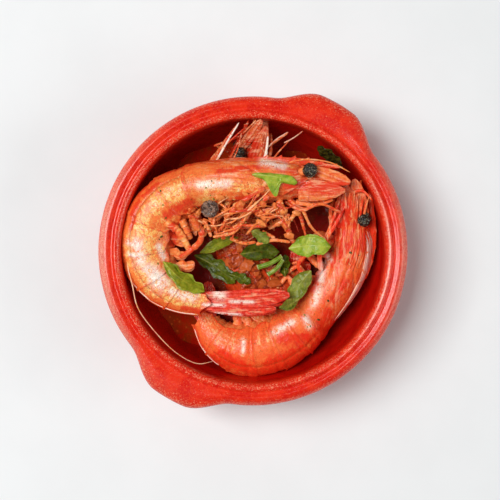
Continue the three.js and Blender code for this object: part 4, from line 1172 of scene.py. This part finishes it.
def lay_threads(name, rng, tree, count):
    """Torn strips of leg and feeler, which lie across the legs in the middle of the dish."""
    areas = ((-10, 14, 8, 38), (-2, 17, 8, 32), (5, 16, 7, 20), (15, 12, 6, -62), (-18, 10, 5, -50),
             (0, 10, 7, 8), (-6, 8, 6, 20), (9, 14, 6, -20))
    pieces = []
    while len(pieces) < count:
        x0, y0, spread, heading = areas[rng.integers(len(areas))]
        x, y = x0 + rng.normal() * spread / 2, y0 + rng.normal() * spread / 3
        turn, length = math.radians(heading + rng.normal() * 18), rng.uniform(5, 14)
        bend = rng.normal() * 0.12 * length
        points = []
        for share in (0, 0.33, 0.67, 1):
            run, off = (share - 0.5) * length, bend * math.sin(math.pi * share)
            px = x + run * math.cos(turn) - off * math.sin(turn)
            py = y + run * math.sin(turn) + off * math.cos(turn)
            hit = tree.ray_cast(Vector((px * MM, py * MM, 0.1)), Vector((0, 0, -1)))[0]
            points.append([px, py, hit.z / MM if hit else 20])
        heights = [point[2] for point in points]
        if max(heights) - min(heights) > 9 or max(heights) > 43.5:
            continue
        low = max(heights) - 3
        for point in points:
            point[2] = max(point[2], low) + 0.4
        thick = rng.uniform(0.22, 0.5)
        pieces.append(limb(name, points, thick, thick * 0.3, (), 9, 24, 0.5))
        note(pieces[-1], tone=rng.random())
    whole = join(name, pieces)
    return close_up(whole, 60)


# Finishes

def paint(code):
    """A colour from its six-digit code, as the shader wants it."""
    values = [int(code[i:i + 2], 16) / 255 for i in (0, 2, 4)]
    return [*(v / 12.92 if v <= 0.04045 else ((v + 0.055) / 1.055) ** 2.4 for v in values), 1]


class Finish:
    """A procedural material that reads a piece's own coordinates and the notes on its surface."""

    def __init__(self, name, **values):
        self.material = bpy.data.materials.new(name)
        self.material.use_nodes = True
        self.tree = self.material.node_tree
        self.surface = self.tree.nodes["Principled BSDF"]
        self.place = self.node("ShaderNodeTexCoord").outputs["Object"]
        for socket, value in values.items():
            self.surface.inputs[socket.replace("_", " ")].default_value = value

    def node(self, kind, **settings):
        node = self.tree.nodes.new(kind)
        for name, value in settings.items():
            setattr(node, name, value)
        return node

    def feed(self, socket, value):
        if isinstance(value, bpy.types.NodeSocket):
            self.tree.links.new(value, socket)
        else:
            socket.default_value = value

    def note(self, name):
        return self.node("ShaderNodeAttribute", attribute_name=name).outputs["Fac"]

    def noise(self, size, detail=3.0, rough=0.55, stretch=None, twist=0.0, shift=0.0):
        """Cloudy noise with patches of about size millimetres."""
        texture = self.node("ShaderNodeTexNoise")
        place = self.node("ShaderNodeMapping")
        self.feed(place.inputs["Vector"], self.place)
        place.inputs["Scale"].default_value = stretch or (1, 1, 1)
        place.inputs["Location"].default_value = (shift, shift * 0.7, shift * 0.3)
        self.feed(texture.inputs["Vector"], place.outputs["Vector"])
        for socket, value in (("Scale", 1 / (size * MM)), ("Detail", detail), ("Roughness", rough),
                              ("Distortion", twist)):
            texture.inputs[socket].default_value = value
        return texture.outputs["Fac"]

    def cells(self, size):
        """Distance from the middle of scattered cells of about size millimetres."""
        texture = self.node("ShaderNodeTexVoronoi")
        self.feed(texture.inputs["Vector"], self.place)
        texture.inputs["Scale"].default_value = 1 / (size * MM)
        return texture.outputs["Distance"]

    def level(self, value, low, high, start=0.0, stop=1.0):
        spread = self.node("ShaderNodeMapRange", interpolation_type="SMOOTHSTEP")
        for socket, number in zip(("Value", "From Min", "From Max", "To Min", "To Max"),
                                  (value, low, high, start, stop)):
            self.feed(spread.inputs[socket], number)
        return spread.outputs["Result"]

    def math(self, operation, first, second=0.0):
        step = self.node("ShaderNodeMath", operation=operation)
        self.feed(step.inputs[0], first)
        self.feed(step.inputs[1], second)
        return step.outputs["Value"]

    def times(self, first, second):
        return self.math("MULTIPLY", first, second)

    def plus(self, first, second):
        return self.math("ADD", first, second)

    def larger(self, first, second):
        return self.math("MAXIMUM", first, second)

    def sway(self, texture, weight):
        """A texture's rise and fall about its middle value, so many times as strong."""
        return self.times(self.math("SUBTRACT", texture, 0.5), weight)

    def lines(self, texture, width):
        """Thin lines where a texture passes its middle value."""
        return self.level(self.math("ABSOLUTE", self.math("SUBTRACT", texture, 0.5)), width, 0.0)

    def mix(self, share, first, second):
        mixer = self.node("ShaderNodeMix", data_type="RGBA")
        self.feed(mixer.inputs[0], share)
        self.feed(mixer.inputs[6], first)
        self.feed(mixer.inputs[7], second)
        return mixer.outputs[2]

    def bump(self, height, strength, distance, below=None):
        relief = self.node("ShaderNodeBump")
        relief.inputs["Strength"].default_value = strength
        relief.inputs["Distance"].default_value = distance * MM
        self.feed(relief.inputs["Height"], height)
        if below is not None:
            self.feed(relief.inputs["Normal"], below)
        return relief.outputs["Normal"]

    def done(self, colour, normal=None, roughness=None, wet=None):
        self.feed(self.surface.inputs["Base Color"], colour)
        if normal is not None:
            self.feed(self.surface.inputs["Normal"], normal)
            self.feed(self.surface.inputs["Coat Normal"], wet or normal)
        if roughness is not None:
            self.feed(self.surface.inputs["Roughness"], roughness)
        return self.material


def limb_tone(f, light, deep, dark, patches, streaks, fine):
    """The colour of legs, feelers and blades, paler along their ribs."""
    tone = f.mix(f.level(f.noise(2.1, 5, 0.65, shift=0.5), 0.46, 0.64), light,
                 f.mix(f.level(patches, 0.5, 0.65), deep, dark))
    tone = f.mix(f.level(streaks, 0.5, 0.64, 0.15, 0.75), tone, paint("ffa860"))
    return f.mix(f.times(f.note("rib"), f.level(fine, 0.4, 0.6, 0.1, 0.8)), tone, paint("fcb090"))


def shell_marks(f, colour, limb, deep):
    """Veins, cracks, brown dots and scorched places over a shell's colour."""
    veins = f.lines(f.noise(3.4, 5, 0.6, (1, 0.7, 1), 1.2, 3.3), 0.03)
    colour = f.mix(f.times(veins, f.level(limb, 0, 1, 0.6, 0.2)), colour, deep)
    cracks = f.lines(f.noise(2.3, 4, 0.62, (1, 1, 0.8), 2.4, 5.1), 0.034)
    cracks = f.times(cracks, f.level(f.noise(6, 3, shift=4.2), 0.4, 0.58, 0.1, 0.9))
    colour = f.mix(f.times(cracks, f.level(limb, 0, 1, 1, 0)), colour, paint("d8481c"))
    dots = f.level(f.noise(0.5, 3, 0.6, (1, 0.6, 1), shift=0.9), 0.6, 0.66)
    dots = f.times(dots, f.level(f.noise(3.5, 3, shift=2.1), 0.42, 0.6, 0.25, 1))
    dots = f.times(dots, f.level(limb, 0, 1, 0.8, 0.3))
    colour = f.mix(dots, colour, paint("8a4a1e"))
    scorch = f.level(f.noise(4, 6, 0.72, shift=1.4), 0.64, 0.76, 0, 0.3)
    return f.mix(scorch, colour, paint("b8401a"))


# How each prawn's shell looks, with its colours from cream to dark
SHELL_FINISHES = {
    "prawn_top": dict(
        name="shell_of_top_prawn", colours=("fdc66c", "f8863f", "f1602a", "e4341a"),
        pale_amount=0.06, oil=0.36, red_back=0.2, head_grain=(0.16, 1, 1),
    ),
    "prawn_right": dict(
        name="shell_of_right_prawn", colours=("fdb878", "fc7a3c", "f8562a", "ee2c14"),
        pale_amount=-0.12, oil=0.28, red_back=0.28, head_grain=(1, 0.16, 0.6),
    ),
    # The back prawn's darker, browner colours are partly painted shade, for where it lies deep under the
    # others
    "prawn_back": dict(
        name="brown_and_shaded_back_shell", colours=("ea7c40", "d04a1c", "b03010", "cc2812"),
        pale_amount=-0.2, oil=0.14, red_back=0.16, head_grain=(0.2, 1, 1),
    ),
}


def shell_finish(name, colours, pale_amount, oil, red_back, head_grain):
    """Grilled prawn shell: cream patches with brown specks on orange, red along the edges, oiled, with
    painted highlights from the pale and white strokes.
    """
    f = Finish(name, Coat_Weight=oil, Coat_Roughness=0.12, Subsurface_Weight=0.12, Subsurface_Scale=0.0016,
               Specular_IOR_Level=0.4 * oil)
    f.surface.inputs["Subsurface Radius"].default_value = (1, 0.45, 0.2)
    cream, light, deep, dark = (paint(colour) for colour in colours)
    around, rim, limb, meat = f.note("around"), f.note("rim"), f.note("limb"), f.note("meat")
    clouds, patches = f.noise(7, 4), f.noise(2.6, 6, 0.66, twist=0.8)
    fine, streaks = f.noise(0.8, 4, 0.7), f.noise(1.5, 6, 0.65, (1, 0.45, 1), 1.6)
    colour = f.mix(f.level(clouds, 0.38, 0.62), light, f.mix(f.level(patches, 0.38, 0.62), light, deep))
    colour = f.mix(f.level(streaks, 0.48, 0.66, 0, 0.75), colour, deep)
    # The pale strokes bring both cream shell and painted highlights
    paleness = f.times(f.note("pale"), 0.55)
    for texture, weight in ((patches, 1.9), (streaks, 1.3), (fine, 1.5)):
        paleness = f.plus(paleness, f.sway(texture, weight))
    paleness = f.plus(f.plus(paleness, f.note("bleach")), pale_amount)
    band = f.level(f.plus(around, f.sway(patches, 0.2)), 0.26, 0.2, 0, -0.28)
    unbleached = f.math("SUBTRACT", 1.0, f.note("pale"))
    paleness = f.plus(paleness, f.times(band, unbleached))
    pale = f.level(paleness, 0.18, 0.62)
    colour = f.mix(pale, colour, cream)
    # Palest cream: partly shell colour, partly painted highlight where the pale strokes are strongest
    colour = f.mix(f.level(paleness, 0.72, 1.1), colour, paint("ffebba"))
    embers = f.level(f.noise(2.2, 6, 0.7, (1, 0.75, 1), 1.5, 6.3), 0.515, 0.58, 0, 0.85)
    colour = f.mix(f.times(embers, f.level(limb, 0, 1, 1, 0.2)), colour,
                   f.mix(f.level(fine, 0.42, 0.6), light, deep))
    colour = f.mix(f.times(limb, f.level(pale, 0, 1, 0.9, 0.45)), colour,
                   limb_tone(f, light, deep, dark, patches, streaks, fine))
    colour = f.mix(f.times(meat, 0.8), colour,
                   f.mix(f.level(patches, 0.4, 0.6), paint("ee9a58"), paint("dc622e")))
    redness = f.larger(f.larger(f.note("red"), f.note("flush")), f.times(rim, 0.7))
    redness = f.larger(redness, f.times(f.note("beak"), 0.9))
    back_red = f.times(f.level(around, red_back, red_back * 0.3, 0, 0.75), unbleached)
    redness = f.larger(redness, f.times(back_red, f.level(limb, 0, 1, 1, 0.3)))
    torn = f.plus(f.noise(2.2, 6, 0.72, shift=0.3), f.sway(streaks, 0.8))
    redness = f.plus(redness, f.sway(torn, 1.5))
    colour = f.mix(f.level(redness, 0.35, 0.95, 0, 0.95), colour, dark)
    colour = f.mix(f.level(f.note("flush"), 0.85, 1.0, 0, 0.85), colour,
                   f.mix(f.level(torn, 0.42, 0.6), paint("cc0e06"), paint("f4442c")))
    grain = f.noise(1.3, 5, 0.62, head_grain, 0.5, 0.7)
    head = f.level(f.note("along"), 30, 48, 1, 0)
    colour = f.mix(f.times(head, f.level(grain, 0.53, 0.63, 0, 0.6)), colour, dark)
    colour = f.mix(f.times(head, f.level(grain, 0.47, 0.38, 0, 0.5)), colour, paint("ffc496"))
    streaky = f.level(f.noise(1.0, 4, 0.6, (0.14, 1, 1), 0.4, 0.2), 0.5, 0.62)
    colour = f.mix(f.times(f.times(f.note("rib"), streaky), 0.32), colour, paint("fc9078"))
    # Painted highlights from the white strokes, together with the real pale of strongly bleached strips
    whiteness_and_highlight = f.larger(f.note("white_and_highlight"), f.level(f.note("bleach"), 0.6, 1.0))
    colour = f.mix(f.times(whiteness_and_highlight, f.level(torn, 0.34, 0.48)), colour, paint("fde8d8"))
    colour = f.mix(f.times(f.note("seam"), f.level(patches, 0.3, 0.6, 0.35, 0.8)), colour, paint("a83c18"))
    colour = shell_marks(f, colour, limb, deep)
    normal = f.bump(fine, 0.4, 0.22)
    normal = f.bump(f.noise(0.3, 2), 0.25, 0.08, normal)
    normal = f.bump(streaks, 0.45, 0.35, normal)
    return f.done(colour, normal, f.level(patches, 0.3, 0.7, 0.32, 0.5),
                  f.bump(torn, 0.35, 0.3, f.bump(fine, 0.3, 0.2)))


def glaze_finish(name, settings):
    """Red glaze over clay: clouded on the rim, flecked along its edges, with painted sheen on the rim's
    shoulder and bead; deep inside, with painted shade darkening it towards the floor.
    """
    f = Finish(name, Coat_Weight=0.6, Coat_Roughness=0.18, Specular_IOR_Level=0.04)
    inner, edge = f.note("inner"), f.note("edge")
    grain, clouds = f.noise(0.8, 5, 0.7), f.noise(6, 5, 0.6)
    rim = f.mix(f.level(clouds, 0.4, 0.6), paint("d41404"), paint("e62a0e"))
    rim = f.mix(f.level(grain, 0.48, 0.62, 0, 0.5), rim, paint("ee4a24"))
    flecks = f.plus(f.noise(0.6, 5, 0.75, shift=0.4), f.times(edge, settings.edge_wear))
    rim = f.mix(f.level(flecks, 0.6, 0.68, 0, 0.8), rim, paint("f69470"))
    rim = f.mix(f.level(f.noise(0.7, 4, 0.7, shift=1.7), 0.6, 0.7, 0, 0.6), rim, paint("a8140a"))
    # Painted sheen: pale paint where the lights shine on the rim, broken up by fine noise
    painted_sheen = f.times(f.note("painted_sheen"), f.level(f.noise(0.5, 5, 0.75, shift=2.4), 0.36, 0.6, 0.1, 0.9))
    rim = f.mix(painted_sheen, rim, paint("f3b49c"))
    deep = f.mix(f.level(clouds, 0.35, 0.7), paint("d4160a"), paint("ba0d05"))
    # Painted shade: the inside glaze is painted darker towards the floor, standing in for the shade down in
    # the dish
    deep = f.mix(f.level(f.note("height"), 26, 8, 0, 0.7), deep, paint("640e05"))
    colour = f.mix(inner, rim, deep)
    low = f.level(f.note("height"), 2.2, 0.6)
    colour = f.mix(f.times(low, f.level(grain, 0.4, 0.6, 0.6, 1)), colour, paint("a9593a"))
    normal = f.bump(grain, 0.3 * settings.glaze_grain, 0.3)
    normal = f.bump(f.level(f.cells(1.1), 0.0, 0.25), 0.25 * settings.glaze_grain, 0.15, normal)
    normal = f.bump(clouds, 0.3, 0.6, normal)
    wet = f.bump(clouds, 0.2, 0.5, f.bump(grain, 0.22, 0.2))
    return f.done(colour, normal, f.level(inner, 0, 1, 0.42, 0.3), wet)


def sauce_finish(name):
    f = Finish(name, Coat_Weight=0.1, Coat_Roughness=0.08, Specular_IOR_Level=0.06)
    patches, fine = f.noise(7, 5, 0.6, twist=0.8), f.noise(1.3, 4, 0.6)
    colour = f.mix(f.level(patches, 0.38, 0.62), paint("a61606"), paint("8e2c0a"))
    colour = f.mix(f.level(fine, 0.58, 0.7, 0, 0.5), colour, paint("8a2c0d"))
    spots = f.times(f.level(f.cells(2.1), 0.28, 0.2), f.level(patches, 0.5, 0.6))
    colour = f.mix(spots, colour, paint("b0471a"))
    return f.done(colour, f.bump(patches, 0.4, 0.8), f.level(fine, 0.3, 0.7, 0.18, 0.36))


def eye_finish(name):
    f = Finish(name, Coat_Weight=0.45, Coat_Roughness=0.2, Specular_IOR_Level=0.2)
    fine = f.noise(0.75, 4, 0.7)
    colour = f.mix(f.level(fine, 0.5, 0.62), paint("120f0a"), paint("443c2a"))
    colour = f.mix(f.level(f.noise(0.6, 3, 0.6, shift=0.4), 0.57, 0.66), colour, paint("a8a084"))
    return f.done(colour, f.bump(f.cells(0.5), 0.5, 0.2), f.level(fine, 0.3, 0.7, 0.25, 0.5))


LEAF_TONES = {
    "bright": ("aab83c", "7c9a1a", "ccd47a"),
    "green": ("a0a428", "747e14", "c8c050"),
    "dark": ("647012", "3e4c08", "98983a"),
    "olive": ("929a38", "6a7220", "bab868"),
}


def leaf_finish(name, tones):
    f = Finish(name, Coat_Weight=0.2, Coat_Roughness=0.2, Subsurface_Weight=0.15, Subsurface_Scale=0.001,
               Specular_IOR_Level=0.2)
    light, dark, vein_tone = (paint(tone) for tone in LEAF_TONES[tones])
    vein, rim = f.note("vein"), f.note("rim")
    clouds, fine = f.noise(2.6, 4, 0.6), f.noise(0.5, 4, 0.65)
    colour = f.mix(f.level(clouds, 0.35, 0.65), dark, light)
    colour = f.mix(f.level(fine, 0.5, 0.7, 0, 0.45), colour, dark)
    colour = f.mix(f.level(vein, 0.3, 0.9, 0, 0.6), colour, vein_tone)
    colour = f.mix(f.level(rim, 0.2, 1, 0, 0.3), colour, dark)
    colour = f.mix(f.level(f.noise(1.1, 3, shift=0.8), 0.66, 0.74, 0, 0.6), colour, paint("4a3a14"))
    normal = f.bump(fine, 0.4, 0.15)
    return f.done(colour, f.bump(vein, 0.4, 0.2, normal), f.level(clouds, 0.3, 0.7, 0.34, 0.5))


def stalk_finish(name):
    f = Finish(name, Coat_Weight=0.35, Coat_Roughness=0.2, Subsurface_Weight=0.15, Subsurface_Scale=0.001)
    fine, clouds = f.noise(0.6, 4, 0.6), f.noise(3, 4)
    colour = f.mix(f.level(f.note("vein"), 0.2, 0.8), paint("5c7c14"), paint("84a62c"))
    colour = f.mix(f.level(clouds, 0.45, 0.65, 0, 0.5), colour, paint("a2b444"))
    colour = f.mix(f.level(f.note("rim"), 0.3, 1, 0, 0.7), colour, paint("dfe0a0"))
    return f.done(colour, f.bump(fine, 0.4, 0.15), f.level(fine, 0.3, 0.7, 0.3, 0.45))


def charred_finish(name, light, dark, vein, oil):
    f = Finish(name, Coat_Weight=oil, Coat_Roughness=0.2, Specular_IOR_Level=0.15)
    fine, clouds = f.noise(0.5, 5, 0.7), f.noise(1.8, 4, 0.6)
    colour = f.mix(f.level(clouds, 0.4, 0.62), paint(dark), paint(light))
    colour = f.mix(f.level(fine, 0.56, 0.7, 0, 0.6), colour, paint(vein))
    return f.done(colour, f.bump(fine, 0.5, 0.2), f.level(fine, 0.3, 0.7, 0.35, 0.6))


def crumb_finish(name, first, second, third):
    f = Finish(name, Coat_Weight=0.25, Coat_Roughness=0.15, Specular_IOR_Level=0.12)
    tone, fine = f.noise(1.5, 2, 0.5), f.noise(0.3, 3, 0.6)
    colour = f.mix(f.level(tone, 0.4, 0.6), paint(first), paint(second))
    colour = f.mix(f.level(f.note("along"), 0.6, 0.75), colour, paint(third))
    return f.done(colour, f.bump(fine, 0.4, 0.1), f.level(fine, 0.3, 0.7, 0.3, 0.5))


def thread_finish(name):
    f = Finish(name, Coat_Weight=0.4, Coat_Roughness=0.12, Specular_IOR_Level=0.15)
    tone, patches, fine = f.note("tone"), f.noise(1.8, 5, 0.65), f.noise(0.6, 4, 0.6)
    colour = f.mix(f.level(tone, 0.26, 0.32), paint("fbb47c"), paint("f6823e"))
    colour = f.mix(f.level(tone, 0.62, 0.68), colour, paint("de4426"))
    colour = f.mix(f.level(patches, 0.48, 0.68, 0, 0.6), colour, paint("ea5c2c"))
    colour = f.mix(f.level(fine, 0.58, 0.7, 0, 0.4), colour, paint("fbbf8c"))
    return f.done(colour, f.bump(fine, 0.4, 0.12), f.level(patches, 0.3, 0.7, 0.3, 0.48))


def wear(obj, material):
    obj.data.materials.clear()
    obj.data.materials.append(material)
    return obj


# Settings, operators and panel

class DishSettings(bpy.types.PropertyGroup):
    """How the glaze of the dish looks."""

    glaze_grain: bpy.props.FloatProperty(
        name="Glaze grain", description="How rough the glaze is to the touch", default=1.0, min=0, max=3,
        subtype="FACTOR")
    edge_wear: bpy.props.FloatProperty(
        name="Edge wear", description="How much paler the glaze is along the edges of the rim", default=0.1,
        min=0, max=0.5, subtype="FACTOR")


class ToppingSettings(bpy.types.PropertyGroup):
    """How much lies scattered over the prawns."""

    crumbs: bpy.props.IntProperty(
        name="Crumbs", description="How many crumbs of roe and shell are scattered",
        default=260, min=0, max=900)
    meat: bpy.props.IntProperty(
        name="Meat", description="How many torn lumps of meat lie among the legs",
        default=130, min=0, max=400)
    flakes: bpy.props.IntProperty(
        name="Flakes", description="How many fried flakes of shell lie in the middle",
        default=64, min=0, max=300)
    flecks: bpy.props.IntProperty(
        name="Herb flecks", description="How many flecks of dried herb are scattered",
        default=70, min=0, max=400)
    threads: bpy.props.IntProperty(
        name="Threads", description="How many torn threads of leg and feeler lie over the middle", default=44,
        min=0, max=200)
    seed: bpy.props.IntProperty(name="Seed", description="Draw of the scattered bits", default=7, min=0)


class StageSettings(bpy.types.PropertyGroup):
    """The floor, the light and the camera."""

    light_height: bpy.props.FloatProperty(
        name="Light height", description="How high the large light stands above the floor",
        default=math.radians(62), subtype="ANGLE")
    light_power: bpy.props.FloatProperty(
        name="Light power", description="Power of the large light", default=21.5, min=0, unit="POWER")
    camera_height: bpy.props.FloatProperty(
        name="Camera height", description="Height of the camera above the floor",
        default=0.510, unit="LENGTH")


class PRAWNBOWL_OT_dish(bpy.types.Operator):
    """Turn the clay dish with its rolled rim and two lugs"""

    bl_idname = "prawnbowl.dish"
    bl_label = "Clay dish"

    def execute(self, context):
        dish = wear(build_bowl("glazed_dish"), glaze_finish("red_glaze", context.scene.prawnbowl_dish))
        hand_over(dish, "glaze", "bowl")
        return {"FINISHED"}


class PRAWNBOWL_OT_sauce(bpy.types.Operator):
    """Pour the thin cooking juice on the floor of the dish"""

    bl_idname = "prawnbowl.sauce"
    bl_label = "Cooking juice"

    def execute(self, context):
        juice = wear(build_sauce("cooking_juice"), sauce_finish("oily_juice"))
        hand_over(juice, "glaze")
        return {"FINISHED"}


class PRAWNBOWL_OT_prawns(bpy.types.Operator):
    """Build the three whole prawns with their shells, limbs and eyes"""

    bl_idname = "prawnbowl.prawns"
    bl_label = "Grilled prawns"

    def execute(self, context):
        finishes = {which: shell_finish(**look) for which, look in SHELL_FINISHES.items()}
        dark = eye_finish("dried_eye")
        for which, finish in finishes.items():
            for piece, painted_sheen in zip(build_prawn(which), (finish, finish, dark)):
                hand_over(wear(piece, painted_sheen), "shell", which)
        return {"FINISHED"}


class PRAWNBOWL_OT_leaves(bpy.types.Operator):
    """Tear the parsley leaves and lay them where they fell"""

    bl_idname = "prawnbowl.leaves"
    bl_label = "Parsley leaves"

    def execute(self, context):
        finishes = {tone: leaf_finish("parsley_" + tone, tone) for tone in LEAF_TONES}
        for number, (name, leaf) in enumerate(LEAVES.items()):
            hand_over(wear(build_leaf(name, number), finishes[leaf[5]]), "parsley", name)
        return {"FINISHED"}


class PRAWNBOWL_OT_stalks(bpy.types.Operator):
    """Cut the two parsley stalks"""

    bl_idname = "prawnbowl.stalks"
    bl_label = "Parsley stalks"

    def execute(self, context):
        finish = stalk_finish("parsley_stem")
        for name in STALKS:
            hand_over(wear(build_stalk(name), finish), "stalk", name)
        return {"FINISHED"}


class PRAWNBOWL_OT_spices(bpy.types.Operator):
    """Set the puckered peppercorn and the dried leaf on the wall"""

    bl_idname = "prawnbowl.spices"
    bl_label = "Peppercorn and dried leaf"

    def execute(self, context):
        corn_skin = charred_finish("peppercorn_skin", "987460", "3c261c", "dccdc0", 0.7)
        hand_over(wear(build_peppercorn("puckered_peppercorn"), corn_skin), "pepper", "peppercorn")
        leaf_skin = charred_finish("dried_leaf_skin", "46400f", "1e1a08", "7c7428", 0.15)
        hand_over(wear(build_wall_leaf("dried_leaf"), leaf_skin), "dark_leaf", "leaf_on_wall")
        return {"FINISHED"}


class PRAWNBOWL_OT_crumbs(bpy.types.Operator):
    """Scatter crumbs of roe and shell and flecks of dried herb"""

    bl_idname = "prawnbowl.crumbs"
    bl_label = "Crumbs and flecks"

    def execute(self, context):
        settings = context.scene.prawnbowl_topping
        rng = np.random.default_rng(settings.seed)
        under = [bpy.data.objects[which + kind] for which in PRAWNS for kind in ("_shell", "_limbs")]
        tree = surface_tree(*under)
        meat = scatter_bits("torn_meat", rng, tree, HEAP, settings.meat, 0.7, 2.2, 0.6, cuts=3)
        hand_over(wear(meat, crumb_finish("cooked_meat", "ea7c3e", "d2501f", "ee8a46")), "shell")
        threads = lay_threads("torn_threads", rng, surface_tree(*under, meat), settings.threads)
        hand_over(wear(threads, thread_finish("torn_shell")), "shell")
        flakes = scatter_bits("brown_flakes", rng, tree, MIDDLE_FLOOR, settings.flakes, 0.9, 3.4, 0.3,
                              cuts=3, highest=25)
        hand_over(wear(flakes, crumb_finish("fried_flakes", "b4481a", "8a2c0e", "c45a26")), "shell")
        crumbs = scatter_bits("roe_crumbs", rng, tree, MIDDLE, settings.crumbs, 0.22, 0.8, 0.6)
        hand_over(wear(crumbs, crumb_finish("roe", "e0762f", "c8481c", "f0b070")), "shell")
        flecks = scatter_bits("herb_flecks", rng, tree, WIDE, settings.flecks, 0.25, 0.8, 0.35)
        hand_over(wear(flecks, crumb_finish("dried_herb", "5f6418", "35380f", "8a8a34")), "parsley")
        return {"FINISHED"}


class PRAWNBOWL_OT_stage(bpy.types.Operator):
    """Lay the pale floor and set the soft light and the camera above the dish"""

    bl_idname = "prawnbowl.stage"
    bl_label = "Floor, light and camera"

    def execute(self, context):
        settings = context.scene.prawnbowl_stage
        deselect()
        bpy.ops.mesh.primitive_plane_add(size=6)
        floor = context.object
        floor.name = "pale_floor"
        f = Finish("matte_paper", Roughness=0.8)
        wear(floor, f.done(f.mix(f.level(f.noise(40, 3), 0.3, 0.7), paint("e8eaea"), paint("ebeded")),
                           f.bump(f.noise(1.2, 3), 0.05, 0.1)))
        for name, turn, height, power, wide, deep in (
            ("large_soft_light", math.radians(166), settings.light_height, settings.light_power, 0.62, 0.9),
            ("pale_reflector", math.radians(-14), math.radians(30), settings.light_power * 0.3, 1.0, 0.6),
        ):
            bpy.ops.object.light_add(type="AREA")
            lamp = context.object
            lamp.name = name
            lamp.data.shape = "RECTANGLE"
            lamp.data.size, lamp.data.size_y = wide, deep
            lamp.data.energy = power
            level = math.cos(height)
            towards = Vector((level * math.cos(turn), level * math.sin(turn), math.sin(height)))
            lamp.location = LIGHT_DISTANCE * towards
            lamp.rotation_euler = (-lamp.location).to_track_quat("-Z", "Y").to_euler()
        world = bpy.data.worlds.new("soft_room")
        world.use_nodes = True
        world.node_tree.nodes["Background"].inputs["Color"].default_value = (0.97, 0.98, 1, 1)
        world.node_tree.nodes["Background"].inputs["Strength"].default_value = 0.15
        context.scene.world = world
        place = (CAMERA_X * MM, CAMERA_Y * MM, settings.camera_height)
        bpy.ops.object.camera_add(location=place, rotation=(0, 0, 0))
        camera = context.object
        camera.data.lens, camera.data.sensor_width = 85, 36
        camera.data.clip_start = 0.01
        context.scene.camera = camera
        context.scene.view_settings.view_transform = "Standard"
        return {"FINISHED"}


OPERATORS = (PRAWNBOWL_OT_dish, PRAWNBOWL_OT_sauce, PRAWNBOWL_OT_prawns, PRAWNBOWL_OT_leaves,
             PRAWNBOWL_OT_stalks, PRAWNBOWL_OT_spices, PRAWNBOWL_OT_crumbs, PRAWNBOWL_OT_stage)


class PRAWNBOWL_PT_pieces(bpy.types.Panel):
    """The pieces of the bowl of prawns"""

    bl_idname = "PRAWNBOWL_PT_pieces"
    bl_label = "Bowl of prawns"
    bl_space_type = "VIEW_3D"
    bl_region_type = "UI"
    bl_category = "Prawns"

    def draw(self, context):
        for name in ("prawnbowl_dish", "prawnbowl_topping", "prawnbowl_stage"):
            settings = getattr(context.scene, name)
            for key in settings.__annotations__:
                self.layout.prop(settings, key)
        for operator in OPERATORS:
            self.layout.operator(operator.bl_idname)


CLASSES = (DishSettings, ToppingSettings, StageSettings, *OPERATORS, PRAWNBOWL_PT_pieces)


def register():
    for item in CLASSES:
        bpy.utils.register_class(item)
    bpy.types.Scene.prawnbowl_dish = bpy.props.PointerProperty(type=DishSettings)
    bpy.types.Scene.prawnbowl_topping = bpy.props.PointerProperty(type=ToppingSettings)
    bpy.types.Scene.prawnbowl_stage = bpy.props.PointerProperty(type=StageSettings)


def unregister():
    del bpy.types.Scene.prawnbowl_stage
    del bpy.types.Scene.prawnbowl_topping
    del bpy.types.Scene.prawnbowl_dish
    for item in reversed(CLASSES):
        bpy.utils.unregister_class(item)


def main():
    register()
    deselect()
    bpy.ops.prawnbowl.dish()
    bpy.ops.prawnbowl.sauce()
    bpy.ops.prawnbowl.prawns()
    bpy.ops.prawnbowl.leaves()
    bpy.ops.prawnbowl.stalks()
    bpy.ops.prawnbowl.spices()
    bpy.ops.prawnbowl.crumbs()
    bpy.ops.prawnbowl.stage()


if __name__ == "__main__":
    main()
